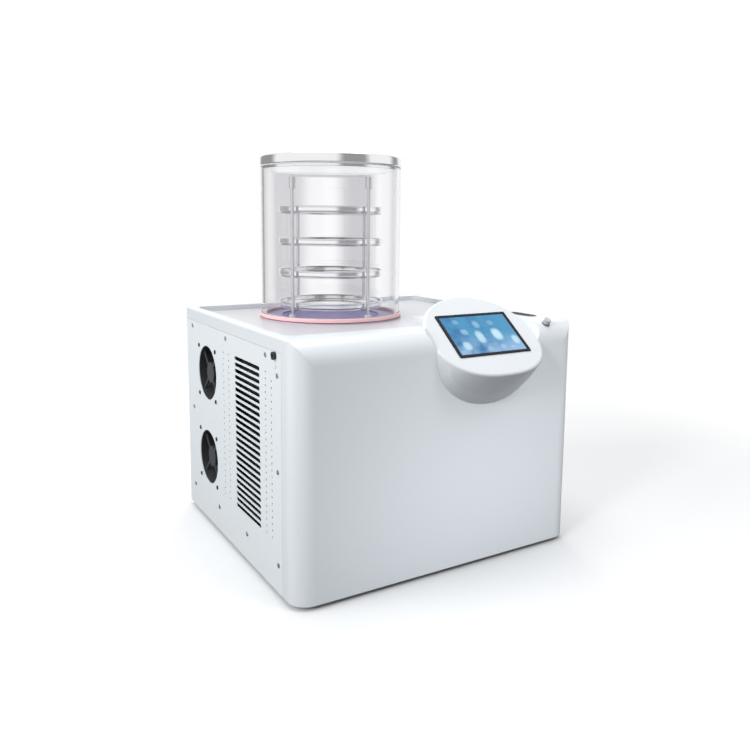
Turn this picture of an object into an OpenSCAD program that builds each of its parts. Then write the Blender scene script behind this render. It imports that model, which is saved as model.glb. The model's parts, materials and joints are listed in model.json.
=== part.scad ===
// Bench-top freeze dryer: cabinet with a cold trap in its top, a clear drying
// chamber with a four-tray rack standing over it, and a tilted touch screen pod.
// Origin: centre of the cabinet's footprint, on the floor. X to the right, Y to the back, Z up.

/* [Body] */
// Width of the cabinet, left to right
body_w = 625; // [600:1:680]
// Depth of the cabinet, front to back
body_d = 580; // [570:1:640]
// Height of the rim above the lower edge of the covers
body_h = 454; // [445:1:490]
// Height of the feet
foot_h = 8; // [6:1:14]
// Wall of the moulded outer cover
cover_t = 4; // [3:0.5:5]
// Thickness of the side and rear sheets
panel_t = 1.5; // [1:0.1:2.5]
// Radius of the upright front corners
corner_r = 36; // [28:1:42]
// Radius of the front top edge
front_r = 42; // [34:1:46]
// Small radius along the side rims
rim_r = 4; // [2:0.5:6]

/* [Deck] */
// Width of the rim round the sunk deck
rim_w = 18; // [14:1:22]
// Depth of the sunk deck below the rim
deck_drop = 11; // [6:1:16]
// Distance from the front face to the sunk deck
deck_front = 71; // [66:1:76]
// Radius of the sunk deck's corner beside the pod
deck_corner_r = 75; // [50:1:90]

/* [Chamber] */
// Outer diameter of the clear cylinder
chamber_d = 298; // [288:1:304]
// Wall of the clear cylinder
chamber_t = 6; // [4:0.5:9]
// Height of the clear cylinder
chamber_h = 311; // [295:1:330]
// Chamber centre, left of the middle
chamber_x = -58; // [-66:1:-50]
// Chamber centre, behind the middle
chamber_y = 75; // [68:1:80]
// Thickness of the lid plate
lid_t = 19; // [10:1:24]
// Height of the red sealing ring
gasket_h = 9; // [7:0.5:12]

/* [Trap] */
// Inner diameter of the cold trap well
trap_d = 210; // [190:1:216]
// Depth of the cold trap well
trap_depth = 170; // [150:1:180]
// Wall of the well
trap_t = 2; // [1.5:0.1:3]
// Foam below and round the well
foam_t = 28; // [20:1:32]
// Diameter of the evaporator tube
coil_d = 10; // [8:0.5:12]

/* [Rack] */
// Diameter of a tray
tray_d = 224; // [200:1:226]
// Height of a tray's rim
tray_h = 12; // [8:1:18]
// Sheet thickness of a tray
tray_t = 1; // [0.6:0.1:1.5]
// Distance from one tray to the next
tray_pitch = 66; // [50:1:67]
// Diameter of the rack posts
post_d = 7; // [6:0.5:8]
// Direction of the rack's right rear post, turned from the width
rack_turn = 22; // [0:1:60]
// Angle between the two posts of a pair
post_spread = 80; // [60:1:100]

/* [Screen] */
// Tilt of the screen face from level
screen_tilt = 38; // [34:1:42]
// Width of the screen with its black border
screen_w = 169; // [150:1:176]
// Height of the screen along its slope
screen_h = 107; // [96:1:112]
// Half width of the pod's oval face
pod_a = 126; // [120:1:130]
// Half height of the pod's oval face, along its slope
pod_b = 103; // [98:1:106]
// Distance from the right side to the pod's centre
pod_inset = 224.5; // [220:0.5:230]

/* [Vents] */
// Number of vent slots, one above the other
slot_rows = 25; // [15:1:25]
// Distance from slot to slot
slot_pitch = 12.2; // [11:0.1:12.4]
// Length of a vent slot
slot_len = 125; // [100:1:130]
// Height of a vent slot
slot_w = 7.6; // [5:0.1:8.5]
// Diameter of the small vent holes
dot_d = 4; // [2:0.1:5]
// Side length of a fan
fan_size = 119; // [110:1:120]
// Depth of a fan
fan_depth = 38; // [30:1:42]
// Distance between a fan's screws
fan_pitch = 105; // [98:0.5:105]
// Number of blades on a fan
fan_blades = 7; // [5:1:9]

/* [Rear] */
// How far the vacuum port stands out behind
port_reach = 58; // [50:1:66]
// Bore of the vacuum port
port_bore_d = 25; // [20:1:28]

/* [Hidden] */
$fn = 64;
eps = 0.01;         // overlap that joins two primitives of one piece
fit = 0.3;          // clearance between separate pieces
run_fit = 0.06;     // radial clearance of a turning shaft

// heights
low_z = foot_h;                        // lower edge of the covers
rim_z = low_z + body_h;
deck_z = rim_z - deck_drop;
deck_under_z = deck_z - cover_t;
front_y = -body_d / 2;
back_y = body_d / 2;
side_x = body_w / 2;
sheet_x = side_x - panel_t;            // inner face of the side sheets
pod_x = side_x - pod_inset;

// cover and panels
seam_y = front_y + 54;                 // where the side sheets meet the cover
sill_z = rim_z - 26;                   // top edge of the side sheets
seam_gap = 0.5;
rear_in = 2;                           // the rear sheet sits this far in
rear_sheet_y = back_y - rear_in - panel_t;
pan_t = 1.5;
pan_flange = 64;
pan_top_z = low_z + pan_t;
post_leg = 30;
rear_leg = 46;
post_t = 2;

// sunk deck
deck_x1 = -side_x + rim_w;
deck_x2 = side_x - rim_w;
deck_y1 = front_y + deck_front;
deck_y2 = back_y - rim_w;
deck_step_x = pod_x - 48;              // right end of the deck in front of the chamber
deck_step_y = -95;                     // front of the deck behind the pod
deck_small_r = 16;

// side screws: [y, height above the lower edge]
screw_front_y = seam_y + 16;
screw_rear_y = back_y - 42;
screw_top = body_h - 38;
screw_low = 52;
side_spots = [[screw_rear_y, screw_top], [34, screw_top], [-169, screw_top],
    [screw_front_y, screw_top - 28], [screw_front_y, 220], [screw_front_y, screw_low],
    [-70, screw_low], [87, screw_low], [screw_rear_y, screw_low], [screw_rear_y, 232]];
rear_spots = [for (x = [-1, 1]) for (z = [40, 225, body_h - 40]) [x * (side_x - 16), z]];
screw_head_d = 9;
screw_head_h = 2;
screw_d = 4;
screw_len = 8;

// vents
slot_y = -77.5;                        // middle of the slot field
slot_z1 = 93;                          // lowest slot above the lower edge
dot_cols = [[-167, 0], [-193, 1], [20, 0], [50, 0]];  // [y, rows left out at the top]
fan_rear = 137.5;                      // from the back to the fans' middle
fan_y = back_y - fan_rear;
fan_top = 128;                         // from the rim down to the upper fan's middle
fan_step = 184;                        // from fan to fan
fan_zs = [body_h - fan_top - fan_step, body_h - fan_top];
fan_hole_r = fan_size / 2 - 2;
fan_bore_r = fan_size / 2 - 3;
fan_hub_r = 22;
fan_recess = 5;                        // from the panel to the struts
fan_strut_t = 3;
fan_shaft_r = 3;
blade_slant = 38;                      // lean of a blade across the air stream
blade_t = 2;

// pod
pod_y = front_y + 22;
pod_z = rim_z - 16.4;
pod_lip = 10;                          // thickness of the oval face plate
pod_edge = 4;                          // rounding of the plate's edge
recess_in = pod_edge - 0.8;            // from the oval's edge to the foot of the slope round it
recess_h = 16;                         // height of that slope
bowl_x = pod_x - 2;
bowl_a = 119;
bowl_top = 54;                         // top of the bowl's foot below the rim
bowl_z = rim_z - 148;                  // lowest point of the bowl on the front face
bezel_t = 1.5;
bezel_border = 5;
module_d = 22;                         // depth of the screen's housing

// chamber
chamber_r = chamber_d / 2;
chamber_in_r = chamber_r - chamber_t;
flange_t = 2;
flange_z = deck_z + flange_t;
gasket_floor = 3;
gasket_out_r = chamber_r + 4;
gasket_in_r = chamber_in_r - 4;
cyl_z = flange_z + gasket_floor;
cyl_top_z = cyl_z + chamber_h;
lid_seal_t = 2;
lid_z = cyl_top_z + lid_seal_t;
lid_spigot_h = 5;
collar_t = 3;
collar_z = flange_z + collar_t;

// trap
trap_r = trap_d / 2;
trap_bottom_z = deck_z - trap_depth;
coil_r = trap_r + trap_t + fit + coil_d / 2;
foam_half = coil_r + coil_d / 2 + foam_t;
foam_low_z = trap_bottom_z - trap_t - foam_t;
tail_x = coil_r / 2;                   // the coil's two tails leave left and right of its middle
tail_y = chamber_y - sqrt(coil_r * coil_r - tail_x * tail_x);
foam_front_y = chamber_y - foam_half;
foam_x1 = chamber_x - foam_half;
port_z = deck_z - 42;
port_r = port_bore_d / 2 + 1.5;
stub_bore_r = port_bore_d / 2 + 2;     // the well's own stub is wider than the port
stub_r = stub_bore_r + 1.5;
coil_turns = 7;
coil_gap = 6;                          // between the top turn and the stub
coil_low_z = trap_bottom_z + 22;
coil_top_z = port_z - stub_r - coil_d / 2 - coil_gap;
coil_pitch = (coil_top_z - coil_low_z) / (coil_turns - 1);
port_flange_r = port_bore_d / 2 + 7.5;
port_flange_t = 4;
port_joint_y = chamber_y + foam_half + port_flange_t + 2;
drain_r = 8;
drain_bore_r = 6;
drain_bend = 3 * drain_r;
drain_end_z = foam_low_z - 4;
drain_z = low_z + 100;

// rack
post_r = post_d / 2;
rack_r = tray_d / 2 + post_r + 3;      // posts stand just outside the trays
tray_z1 = collar_z + 20;               // underside of the lowest tray
hoop_t = 3;
hoop_in_r = tray_d / 2 - 12;
hoop_out_r = tray_d / 2 - 4;
rack_top_z = tray_z1 + 4 * tray_pitch - 2;
foot_sleeve_r = 6.5;
front_posts = [rack_turn + 180, rack_turn + 180 + post_spread];  // these two reach the handle
rear_posts = [rack_turn, rack_turn + post_spread];

// machinery
comp_x = 70;
comp_y = 95;
comp_r = 82;
comp_gap = 30;                         // from the compressor's top to the foam
grommet_h = 18;
comp_plate_t = 4;
comp_z = pan_top_z + grommet_h + comp_plate_t;
comp_h = foam_low_z - comp_gap - comp_z;
comp_out_z = comp_z + 60;              // height of the hot outlet
comp_in_z = comp_z + 120;              // height of the cold inlet
pipe_r = 5;
pipe_bend = 2 * pipe_r;
pipe_gap = 7;                          // between a pipe and the foam
pipe_lead = 12;                        // from a pipe's end to the middle of its bend
liquid_r = 4;
liquid_bend = 3 * liquid_r;
run_x = foam_x1 - pipe_gap - pipe_r;   // the hot pipe climbs here
cond_lead = 15;                        // how far the condenser's pipe ends stand out
cond_gap = 11;                         // from the left sheet to the condenser
cond_x1 = -sheet_x + cond_gap;
cond_x2 = run_x - pipe_lead - cond_lead;
cond_y1 = slot_y - slot_len / 2 - 6;
cond_y2 = slot_y + slot_len / 2 + 6;
cond_top_z = rim_z - 54;
cond_hot_z = cond_top_z - 20;
cond_cool_z = low_z + 62;
cond_plate_t = 1.5;
cond_cols = [0.28, 0.72];              // the tubes' places across its width
cond_rows = [0.2, 0.5, 0.8];           // the tubes' places along its depth
fin_pitch = 12;
fin_count = floor((cond_top_z - cond_cool_z - 6) / fin_pitch);

// electrics
bracket_x = side_x - 192.5;
bracket_y = front_y + 60;
bracket_t = 1.5;
bracket_size = [140, 150, 240];
supply_size = [100, 130, 45];
supply_inset = [20, 10];
supply_vents = 8;
supply_vent_pitch = 14;
standoff_len = 8;
board_t = 1.6;
board_z = pan_top_z + 80;
board_size = [140, 150];               // depth and height of the control board
board_gap = 5;                         // from the bracket's edge to the board
hole_inset = 10;
relay_at = [15, 30];                   // places on the board, depth and height
relay_size = [18, 30, 40];
chip_at = [65, 40];
chip_size = [12, 50, 20];
header_at = [25, 90];
header_size = [8, 90, 12];
knob_x = side_x - 66;
knob_turn = 32;                        // lean of the vent knob towards the front
inlet_x = 190;
inlet_z = low_z + 86;
switch_z = low_z + 124;
drain_out_x = chamber_x;
switch_throw = 20;                     // swing of the rocker from OFF to ON, in degrees

// ---------- shared shapes ----------

// square [x1, y1]-[x2, y2] with corner radii [front left, front right, back right, back left]
module rounded_plan(x1, y1, x2, y2, r) {
    difference() {
        translate([x1, y1]) square([x2 - x1, y2 - y1]);
        corner_cut(x1, y1, 1, 1, r[0]);
        corner_cut(x2, y1, -1, 1, r[1]);
        corner_cut(x2, y2, -1, -1, r[2]);
        corner_cut(x1, y2, 1, -1, r[3]);
    }
}

module corner_cut(x, y, sx, sy, r) {
    if (r > 0)
        difference() {
            translate([x + (sx < 0 ? -r : -1), y + (sy < 0 ? -r : -1)]) square(r + 1);
            translate([x + sx * r, y + sy * r]) circle(r);
        }
}

// a bar lying along X through the origin
module x_rod(r, len) {
    rotate([0, 90, 0]) cylinder(r = r, h = len);
}

// a bar lying along Y through the origin
module y_rod(r, len) {
    rotate([-90, 0, 0]) cylinder(r = r, h = len);
}

// a pipe through points joined by square turns, each turn a bend of radius bend
module pipe_run(pts, r, bend) {
    last = len(pts) - 2;
    for (i = [0:last]) {
        v = pts[i + 1] - pts[i];
        d = v / norm(v);
        cut_in = i == 0 ? 0 : bend;
        cut_out = i == last ? 0 : bend;
        translate(pts[i] + d * cut_in)
            rotate([0, acos(d[2]), atan2(d[1], d[0])])
                cylinder(r = r, h = norm(v) - cut_in - cut_out);
    }
    for (i = [1:1:last]) {
        a = (pts[i] - pts[i - 1]) / norm(pts[i] - pts[i - 1]);
        b = (pts[i + 1] - pts[i]) / norm(pts[i + 1] - pts[i]);
        n = cross(a, b);
        c = pts[i] + (b - a) * bend;
        multmatrix([[-b[0], a[0], n[0], c[0]], [-b[1], a[1], n[1], c[1]], [-b[2], a[2], n[2], c[2]]])
            rotate_extrude(angle = 90) translate([bend, 0]) circle(r);
    }
}

module ring(r_out, r_in, h) {
    difference() {
        cylinder(r = r_out, h = h);
        translate([0, 0, -1]) cylinder(r = r_in, h = h + 2);
    }
}

// ---------- outer cover ----------

// the cabinet's outer form, drawn in by a wall thickness t
module cabinet_form(t) {
    intersection() {
        translate([0, 0, low_z - (t > 0 ? 1 : 0)])
            linear_extrude(body_h - t + (t > 0 ? 1 : 0))
                rounded_plan(-side_x + t, front_y + t, side_x - t, back_y + (t > 0 ? 1 : 0),
                    [corner_r - t, corner_r - t, 0, 0]);
        translate([-side_x, 0, 0]) rotate([90, 0, 90])
            linear_extrude(body_w)
                rounded_plan(front_y + t, -1, back_y + 2, rim_z - t, [0, 0, 0, front_r - t]);
        translate([0, back_y + 2, 0]) rotate([90, 0, 0])
            linear_extrude(body_d + 4)
                rounded_plan(-side_x + t, -1, side_x - t, rim_z - t,
                    [0, 0, max(rim_r - t, 0), max(rim_r - t, 0)]);
    }
}

// plan of the sunk deck, grown by g
module deck_plan(g) {
    rounded_plan(deck_x1 - g, deck_y1 - g, deck_step_x + g, deck_y2 + g,
        [deck_small_r + g, deck_corner_r + g, 0, deck_small_r + g]);
    rounded_plan(0, deck_step_y - g, deck_x2 + g, deck_y2 + g,
        [0, deck_small_r + g, deck_small_r + g, 0]);
}

// the oval of the pod's face: round above, fuller below
function oval(a, b, n = 72) = [for (i = [0:n - 1])
    let (t = 360 * i / n, e = sin(t) < 0 ? 0.8 : 1)
    [a * sign(cos(t)) * pow(abs(cos(t)), e), b * sign(sin(t)) * pow(abs(sin(t)), e)]];

// the lower half of an oval
function bowl(a, b, n = 36) = [for (i = [0:n]) let (t = 180 + 180 * i / n) [a * cos(t), b * sin(t)]];

// puts its children on the pod's tilted face
module on_face() {
    translate([pod_x, pod_y, pod_z]) rotate([screen_tilt, 0, 0]) children();
}

// height of the tilted face at depth y
function face_z(y) = pod_z + (y - pod_y) * tan(screen_tilt);

// a thin upright half oval at depth y, down to height z, below the tilted face
module bowl_slice(y, a, z, t) {
    top = min(rim_z - bowl_top, face_z(y) - pod_lip);
    translate([bowl_x, y + 1, top]) rotate([90, 0, 0])
        linear_extrude(1) polygon(bowl(a - t, top - z - t));
}

// the pod's swelling, drawn in by a wall thickness t
module pod_form(t) {
    hull() {
        on_face() {
            translate([0, 0, -pod_lip]) linear_extrude(pod_lip - pod_edge - t * 0.5)
                polygon(oval(pod_a - t, pod_b - t));
            translate([0, 0, -pod_lip]) linear_extrude(pod_lip - pod_edge / 3 - t)
                polygon(oval(pod_a - t - pod_edge * 0.3, pod_b - t - pod_edge * 0.3));
            translate([0, 0, -pod_lip]) linear_extrude(pod_lip - t)
                polygon(oval(pod_a - t - pod_edge, pod_b - t - pod_edge));
        }
        bowl_slice(front_y - 22 + t, bowl_a - 12, bowl_z + 24, t);
        bowl_slice(front_y + cover_t / 2 + t, bowl_a, bowl_z, t);
        translate([pod_x, pod_y + 34, deck_z - cover_t / 2 - t]) rotate([180, 0, 0])
            linear_extrude(1) polygon(bowl(pod_a - 12 - t, pod_b * 0.62 - t));
    }
}

// the space over the sunk deck and over the pod's face, grown by g
module sunk_space(g) {
    translate([0, 0, deck_z - g]) linear_extrude(deck_drop + 5) deck_plan(g);
    on_face() hull() for (h = [-0.5, recess_h]) translate([0, 0, h - g]) linear_extrude(1)
        polygon(oval(pod_a - recess_in + g + h, pod_b - recess_in + g + h));
}

// the cabinet without its pod, drawn in by a wall thickness t
module cover_form(t) {
    difference() {
        cabinet_form(t);
        sunk_space(t);
    }
}

module outer_cover() {
    color("white")
    difference() {
        cover_form(0);
        cover_form(cover_t);
        pod_form(0);
        // side sheets' windows
        for (s = [-1, 1])
            translate([s > 0 ? side_x - cover_t - 1 : -side_x - 1, seam_y, low_z - 1])
                cube([cover_t + 2, body_d, sill_z - low_z + 1]);
        translate([chamber_x, chamber_y, deck_under_z - 1])
            cylinder(r = trap_r + trap_t + 1, h = cover_t + 2);
        grip_place() translate([0, 0, -cover_t - 1]) linear_extrude(cover_t + 2)
            grip_plan(fit);
        knob_place() translate([0, 0, -cover_t - 3]) cylinder(r = 5 + fit, h = cover_t + 6);
    }
}

module pod_shell() {
    color("white")
    difference() {
        pod_form(0);
        pod_form(cover_t);
        cover_form(cover_t);
        on_face() translate([-screen_w / 2 + 3, -screen_h / 2 + 3, -40])
            cube([screen_w - 6, screen_h - 6, 60]);
    }
}

// ---------- base, frame and sheets ----------

// plan of the base pan, drawn in by i
module pan_plan(i) {
    rounded_plan(-side_x + cover_t + i, front_y + cover_t + i, side_x - cover_t - i,
        seam_y + 20, [corner_r - cover_t - i, corner_r - cover_t - i, 0, 0]);
    translate([-sheet_x + i, seam_y + 1 + i])
        square([2 * (sheet_x - i), rear_sheet_y - seam_y - 1 - 2 * i]);
}

module base_pan() {
    color("gainsboro")
    difference() {
        translate([0, 0, low_z]) linear_extrude(pan_flange) pan_plan(0);
        translate([0, 0, pan_top_z]) linear_extrude(pan_flange) pan_plan(pan_t);
        side_screw_bars(screw_d / 2 + fit);
        rear_screw_bars(screw_d / 2 + fit);
    }
}

module rubber_feet() {
    color("dimgray")
    for (x = [-1, 1]) for (y = [-1, 1])
        translate([x * (side_x - 60), y * (back_y - 62), 0])
            rotate_extrude() polygon([[0, 0], [16, 0], [18, 2], [20, foot_h], [0, foot_h]]);
}

// one corner post: the x leg lies along the front or rear, the y leg along the side sheet
module corner_post(s, y1, y2, leg_at_y2) {
    height = sill_z - low_z - pan_flange;
    y_leg = s > 0 ? sheet_x - post_t : -sheet_x;
    x_leg = s > 0 ? sheet_x - post_leg : -sheet_x;
    translate([y_leg, y1, low_z + pan_flange]) cube([post_t, y2 - y1, height]);
    translate([x_leg, leg_at_y2 ? y2 - post_t : y1, low_z + pan_flange])
        cube([post_leg, post_t, height]);
}

post_y1 = seam_y + 1;
post_y2 = rear_sheet_y;

module frame_posts() {
    color("silver")
    difference() {
        union() {
            for (s = [-1, 1]) {
                corner_post(s, post_y1, post_y1 + post_leg, false);
                corner_post(s, post_y2 - rear_leg, post_y2, true);
            }
        }
        service_place() translate([0, 0, -20]) cylinder(r = 5 + fit, h = 20);
        side_screw_bars(screw_d / 2 + fit);
        rear_screw_bars(screw_d / 2 + fit);
    }
}

module side_rails() {
    color("silver")
    difference() {
        for (s = [-1, 1])
            translate([s > 0 ? sheet_x - post_t : -sheet_x, post_y1 + post_leg,
                    low_z + screw_top - 12])
                cube([post_t, post_y2 - rear_leg - post_y1 - post_leg, 24]);
        side_screw_bars(screw_d / 2 + fit);
    }
}

module side_screw_bars(r) {
    for (p = side_spots) for (s = [-1, 1])
        translate([s * side_x - 15, p[0], low_z + p[1]]) x_rod(r, 30);
}

module rear_screw_bars(r) {
    for (p = rear_spots) translate([p[0], back_y - 20, low_z + p[1]]) y_rod(r, 30);
}

// a side sheet's blank, s is -1 for the left side
module side_blank(s) {
    difference() {
        translate([s > 0 ? sheet_x : -side_x, seam_y + seam_gap, low_z])
            cube([panel_t, back_y - seam_y - seam_gap, sill_z - seam_gap - low_z]);
        side_screw_bars(screw_d / 2 + fit);
    }
}

module vent_slot() {
    rotate([90, 0, 90]) linear_extrude(20) {
        square([slot_len - slot_w, slot_w], center = true);
        for (s = [-1, 1]) translate([s * (slot_len - slot_w) / 2, 0]) circle(d = slot_w, $fn = 32);
    }
}

module left_panel() {
    color("whitesmoke")
    difference() {
        side_blank(-1);
        for (i = [0:slot_rows - 1])
            translate([-side_x - 10, slot_y, low_z + slot_z1 + i * slot_pitch]) vent_slot();
        for (c = dot_cols) for (i = [0:slot_rows - 1 - c[1]])
            translate([-side_x - 10, c[0], low_z + slot_z1 + i * slot_pitch])
                x_rod(dot_d / 2, 20, $fn = 24);
        for (z = fan_zs) translate([-side_x - 10, fan_y, low_z + z]) {
            x_rod(fan_hole_r, 20);
            fan_screw_bars(screw_d / 2 + fit);
        }
        service_place() translate([0, 0, -10]) cylinder(r = 5 + fit, h = 20);
        plug_place() translate([0, 0, -10]) cylinder(r = 3.5 + fit, h = 20);
    }
}

module right_panel() {
    color("whitesmoke") side_blank(1);
}

module rear_panel() {
    head_x = side_x - cover_t - fit;      // the sheet's upper part fits between the cover's sides
    color("whitesmoke")
    difference() {
        union() {
            translate([-sheet_x + fit, rear_sheet_y, low_z])
                cube([2 * (sheet_x - fit), panel_t, sill_z - seam_gap - low_z]);
            translate([-head_x, rear_sheet_y, low_z])
                cube([2 * head_x, panel_t, rim_z - cover_t - fit - low_z]);
        }
        rear_screw_bars(screw_d / 2 + fit);
        translate([chamber_x, back_y - 20, port_z]) y_rod(port_r + fit, 30);
        translate([drain_out_x, back_y - 20, drain_z]) y_rod(drain_r + fit, 30);
        translate([inlet_x - 13.7 - fit, back_y - 20, inlet_z - 10 - fit])
            cube([27.4 + 2 * fit, 30, 20 + 2 * fit]);
        translate([inlet_x - 13 - fit, back_y - 20, switch_z - 9.5 - fit])
            cube([26 + 2 * fit, 30, 19 + 2 * fit]);
        for (i = [0:9]) translate([-200, back_y - 10, low_z + 120 + i * 14])
            rotate([0, 0, -90]) rotate([90, 0, 90]) linear_extrude(20, center = true)
                square([120, 5], center = true);
    }
}

// ---------- screws ----------

module pan_screw() {
    cylinder(d = screw_head_d, h = screw_head_h);
    translate([0, 0, -screw_len]) cylinder(d = screw_d, h = screw_len + eps);
}

module side_screws() {
    color("silver")
    for (p = side_spots) for (s = [-1, 1])
        translate([s * side_x, p[0], low_z + p[1]]) rotate([0, s * 90, 0]) pan_screw($fn = 32);
}

module rear_screws() {
    color("silver")
    for (p = rear_spots)
        translate([p[0], back_y - rear_in, low_z + p[1]]) rotate([-90, 0, 0]) pan_screw($fn = 32);
}

module fan_screw_bars(r) {
    for (y = [-1, 1]) for (z = [-1, 1])
        translate([0, y * fan_pitch / 2, z * fan_pitch / 2]) x_rod(r, 60);
}

module fan_screws() {
    color("dimgray")
    for (h = fan_zs) for (y = [-1, 1]) for (z = [-1, 1])
        translate([-side_x, fan_y + y * fan_pitch / 2, low_z + h + z * fan_pitch / 2])
            rotate([0, -90, 0]) {
                cylinder(d = screw_head_d, h = screw_head_h, $fn = 32);
                translate([0, 0, -14]) cylinder(d = screw_d, h = 14 + eps, $fn = 32);
            }
}

// ---------- fans ----------

// puts its children at a fan, x inwards from the panel's inner face
module at_fan(z) {
    translate([-sheet_x, fan_y, low_z + z]) children();
}

module fan_frame() {
    hub_len = 12;
    difference() {
        union() {
            difference() {
                rotate([90, 0, 90]) linear_extrude(fan_depth)
                    rounded_plan(-fan_size / 2, -fan_size / 2, fan_size / 2, fan_size / 2,
                        [8, 8, 8, 8]);
                translate([-1, 0, 0]) x_rod(fan_bore_r, fan_depth + 2);
            }
            translate([fan_recess, 0, 0]) x_rod(fan_hub_r, hub_len);
            for (a = [45:90:315]) rotate([a, 0, 0])
                translate([fan_recess, -2.5, fan_hub_r - 2])
                    cube([fan_strut_t, 5, fan_bore_r - fan_hub_r + 3]);
        }
        translate([-1, 0, 0]) fan_screw_bars(screw_d / 2 + fit);
        translate([fan_recess + 3, 0, 0]) x_rod(fan_shaft_r + run_fit, hub_len);
    }
}

module fan_rotor() {
    back = fan_recess + 13;                 // front face of the rotor's hub
    hub_len = fan_depth - back - 2;
    difference() {
        translate([back, 0, 0]) x_rod(fan_hub_r, hub_len);
        translate([back + hub_len - 3, 0, 0]) x_rod(fan_hub_r - 8, 4);
    }
    translate([fan_recess + 4, 0, 0]) x_rod(fan_shaft_r, back - fan_recess - 4 + eps);
    // each blade is a slanting plate from the hub to the bore
    for (i = [0:fan_blades - 1]) rotate([i * 360 / fan_blades, 0, 0])
        intersection() {
            translate([back + 1, 0, 0]) x_rod(fan_bore_r - 1.5, hub_len - 2);
            translate([back + hub_len / 2, 0, fan_hub_r - 4]) rotate([0, 0, blade_slant])
                translate([-hub_len, -blade_t / 2, 0])
                    cube([2 * hub_len, blade_t, fan_bore_r - fan_hub_r + 5]);
        }
}

module fan_frame_upper() {
    color("black") at_fan(fan_zs[1]) fan_frame();
}

module fan_frame_lower() {
    color("black") at_fan(fan_zs[0]) fan_frame();
}

module fan_rotor_upper() {
    color("dimgray") at_fan(fan_zs[1]) fan_rotor();
}

module fan_rotor_lower() {
    color("dimgray") at_fan(fan_zs[0]) fan_rotor();
}

// ---------- cold trap ----------

module at_chamber(z) {
    translate([chamber_x, chamber_y, z]) children();
}

module cold_trap() {
    color("silver")
    at_chamber(0) difference() {
        union() {
            translate([0, 0, trap_bottom_z - trap_t])
                cylinder(r = trap_r + trap_t, h = deck_z + eps - trap_bottom_z + trap_t, $fn = 96);
            translate([0, 0, deck_z]) cylinder(r = gasket_out_r - 2, h = flange_t, $fn = 96);
            translate([0, 0, drain_end_z]) cylinder(r = drain_r, h = trap_bottom_z - drain_end_z);
        }
        translate([0, 0, trap_bottom_z]) cylinder(r = trap_r, h = trap_depth + 10, $fn = 96);
        translate([0, trap_r - 10, port_z]) y_rod(stub_r + fit, 20);
        translate([0, 0, drain_end_z - 1]) cylinder(r = drain_bore_r, h = 100);
    }
}

// the stub set into the well's rear wall
module trap_port() {
    flange_y = port_joint_y - chamber_y - port_flange_t;
    color("silver")
    at_chamber(port_z) difference() {
        union() {
            y_rod(stub_r, flange_y + eps);
            translate([0, flange_y, 0]) y_rod(port_flange_r, port_flange_t);
        }
        translate([0, 0, -50]) cylinder(r = trap_r, h = 100, $fn = 96);
        y_rod(stub_bore_r, flange_y + 20);
    }
}

module trap_collar() {
    color("midnightblue") at_chamber(flange_z)
        ring(gasket_in_r - fit, trap_r, collar_t, $fn = 96);
}

module trap_foam() {
    color("khaki")
    difference() {
        at_chamber(foam_low_z) translate([-foam_half, -foam_half, 0])
            cube([2 * foam_half, 2 * foam_half, deck_under_z - foam_low_z]);
        at_chamber(trap_bottom_z - trap_t) cylinder(r = coil_r + coil_d / 2 + fit, h = 400);
        at_chamber(foam_low_z - 1) cylinder(r = drain_r + fit, h = 100);
        at_chamber(port_z) y_rod(stub_r + fit, 300);
        for (s = [-1, 1]) translate([chamber_x + s * tail_x, foam_front_y - 1, tail_z(s)])
            y_rod(coil_d / 2 + fit, tail_y - foam_front_y + 1);
    }
}

// height of a tail: the right one is at the coil's foot, the left one at its top
function tail_z(s) = coil_low_z + (s > 0 ? 0 : (coil_turns - 1) * coil_pitch);

module evaporator_coil() {
    color("peru") {
        at_chamber(coil_low_z) for (i = [0:coil_turns - 1])
            translate([0, 0, i * coil_pitch]) rotate_extrude($fn = 96)
                translate([coil_r, 0]) circle(d = coil_d, $fn = 24);
        at_chamber(coil_low_z) translate([coil_r, 0, 0])
            cylinder(r = coil_d / 2 - 1, h = (coil_turns - 1) * coil_pitch);
        for (s = [-1, 1]) translate([chamber_x + s * tail_x, foam_front_y - 1, tail_z(s)])
            y_rod(coil_d / 2 - 0.5, tail_y - foam_front_y + 1);
    }
}

// ---------- chamber ----------

module base_gasket() {
    color("indianred") at_chamber(flange_z)
    difference() {
        ring(gasket_out_r, gasket_in_r, gasket_h, $fn = 96);
        translate([0, 0, gasket_floor])
            ring(chamber_r + fit, gasket_in_r - 5, gasket_h, $fn = 96);
    }
}

module chamber_cylinder() {
    color([0.9, 0.93, 0.95, 0.35]) at_chamber(cyl_z)
        ring(chamber_r, chamber_in_r, chamber_h, $fn = 128);
}

module lid_seal() {
    color("lightgray") at_chamber(cyl_top_z)
        ring(chamber_r, chamber_in_r, lid_seal_t, $fn = 96);
}

module chamber_lid() {
    color("silver") at_chamber(lid_z) {
        rotate_extrude($fn = 128) polygon([[0, 0], [chamber_r + 1, 0], [chamber_r + 1.5, 0.5],
            [chamber_r + 1.5, lid_t - 1.5], [chamber_r, lid_t], [0, lid_t]]);
        translate([0, 0, -lid_spigot_h - lid_seal_t])
            ring(chamber_in_r - 1, chamber_in_r - 12, lid_spigot_h + lid_seal_t + eps, $fn = 96);
    }
}

// ---------- rack ----------

// puts its children at posts that stand in the given directions from the chamber's axis
module at_posts(turns, z) {
    at_chamber(z) for (a = turns) rotate([0, 0, a]) translate([rack_r, 0, 0]) children();
}

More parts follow.
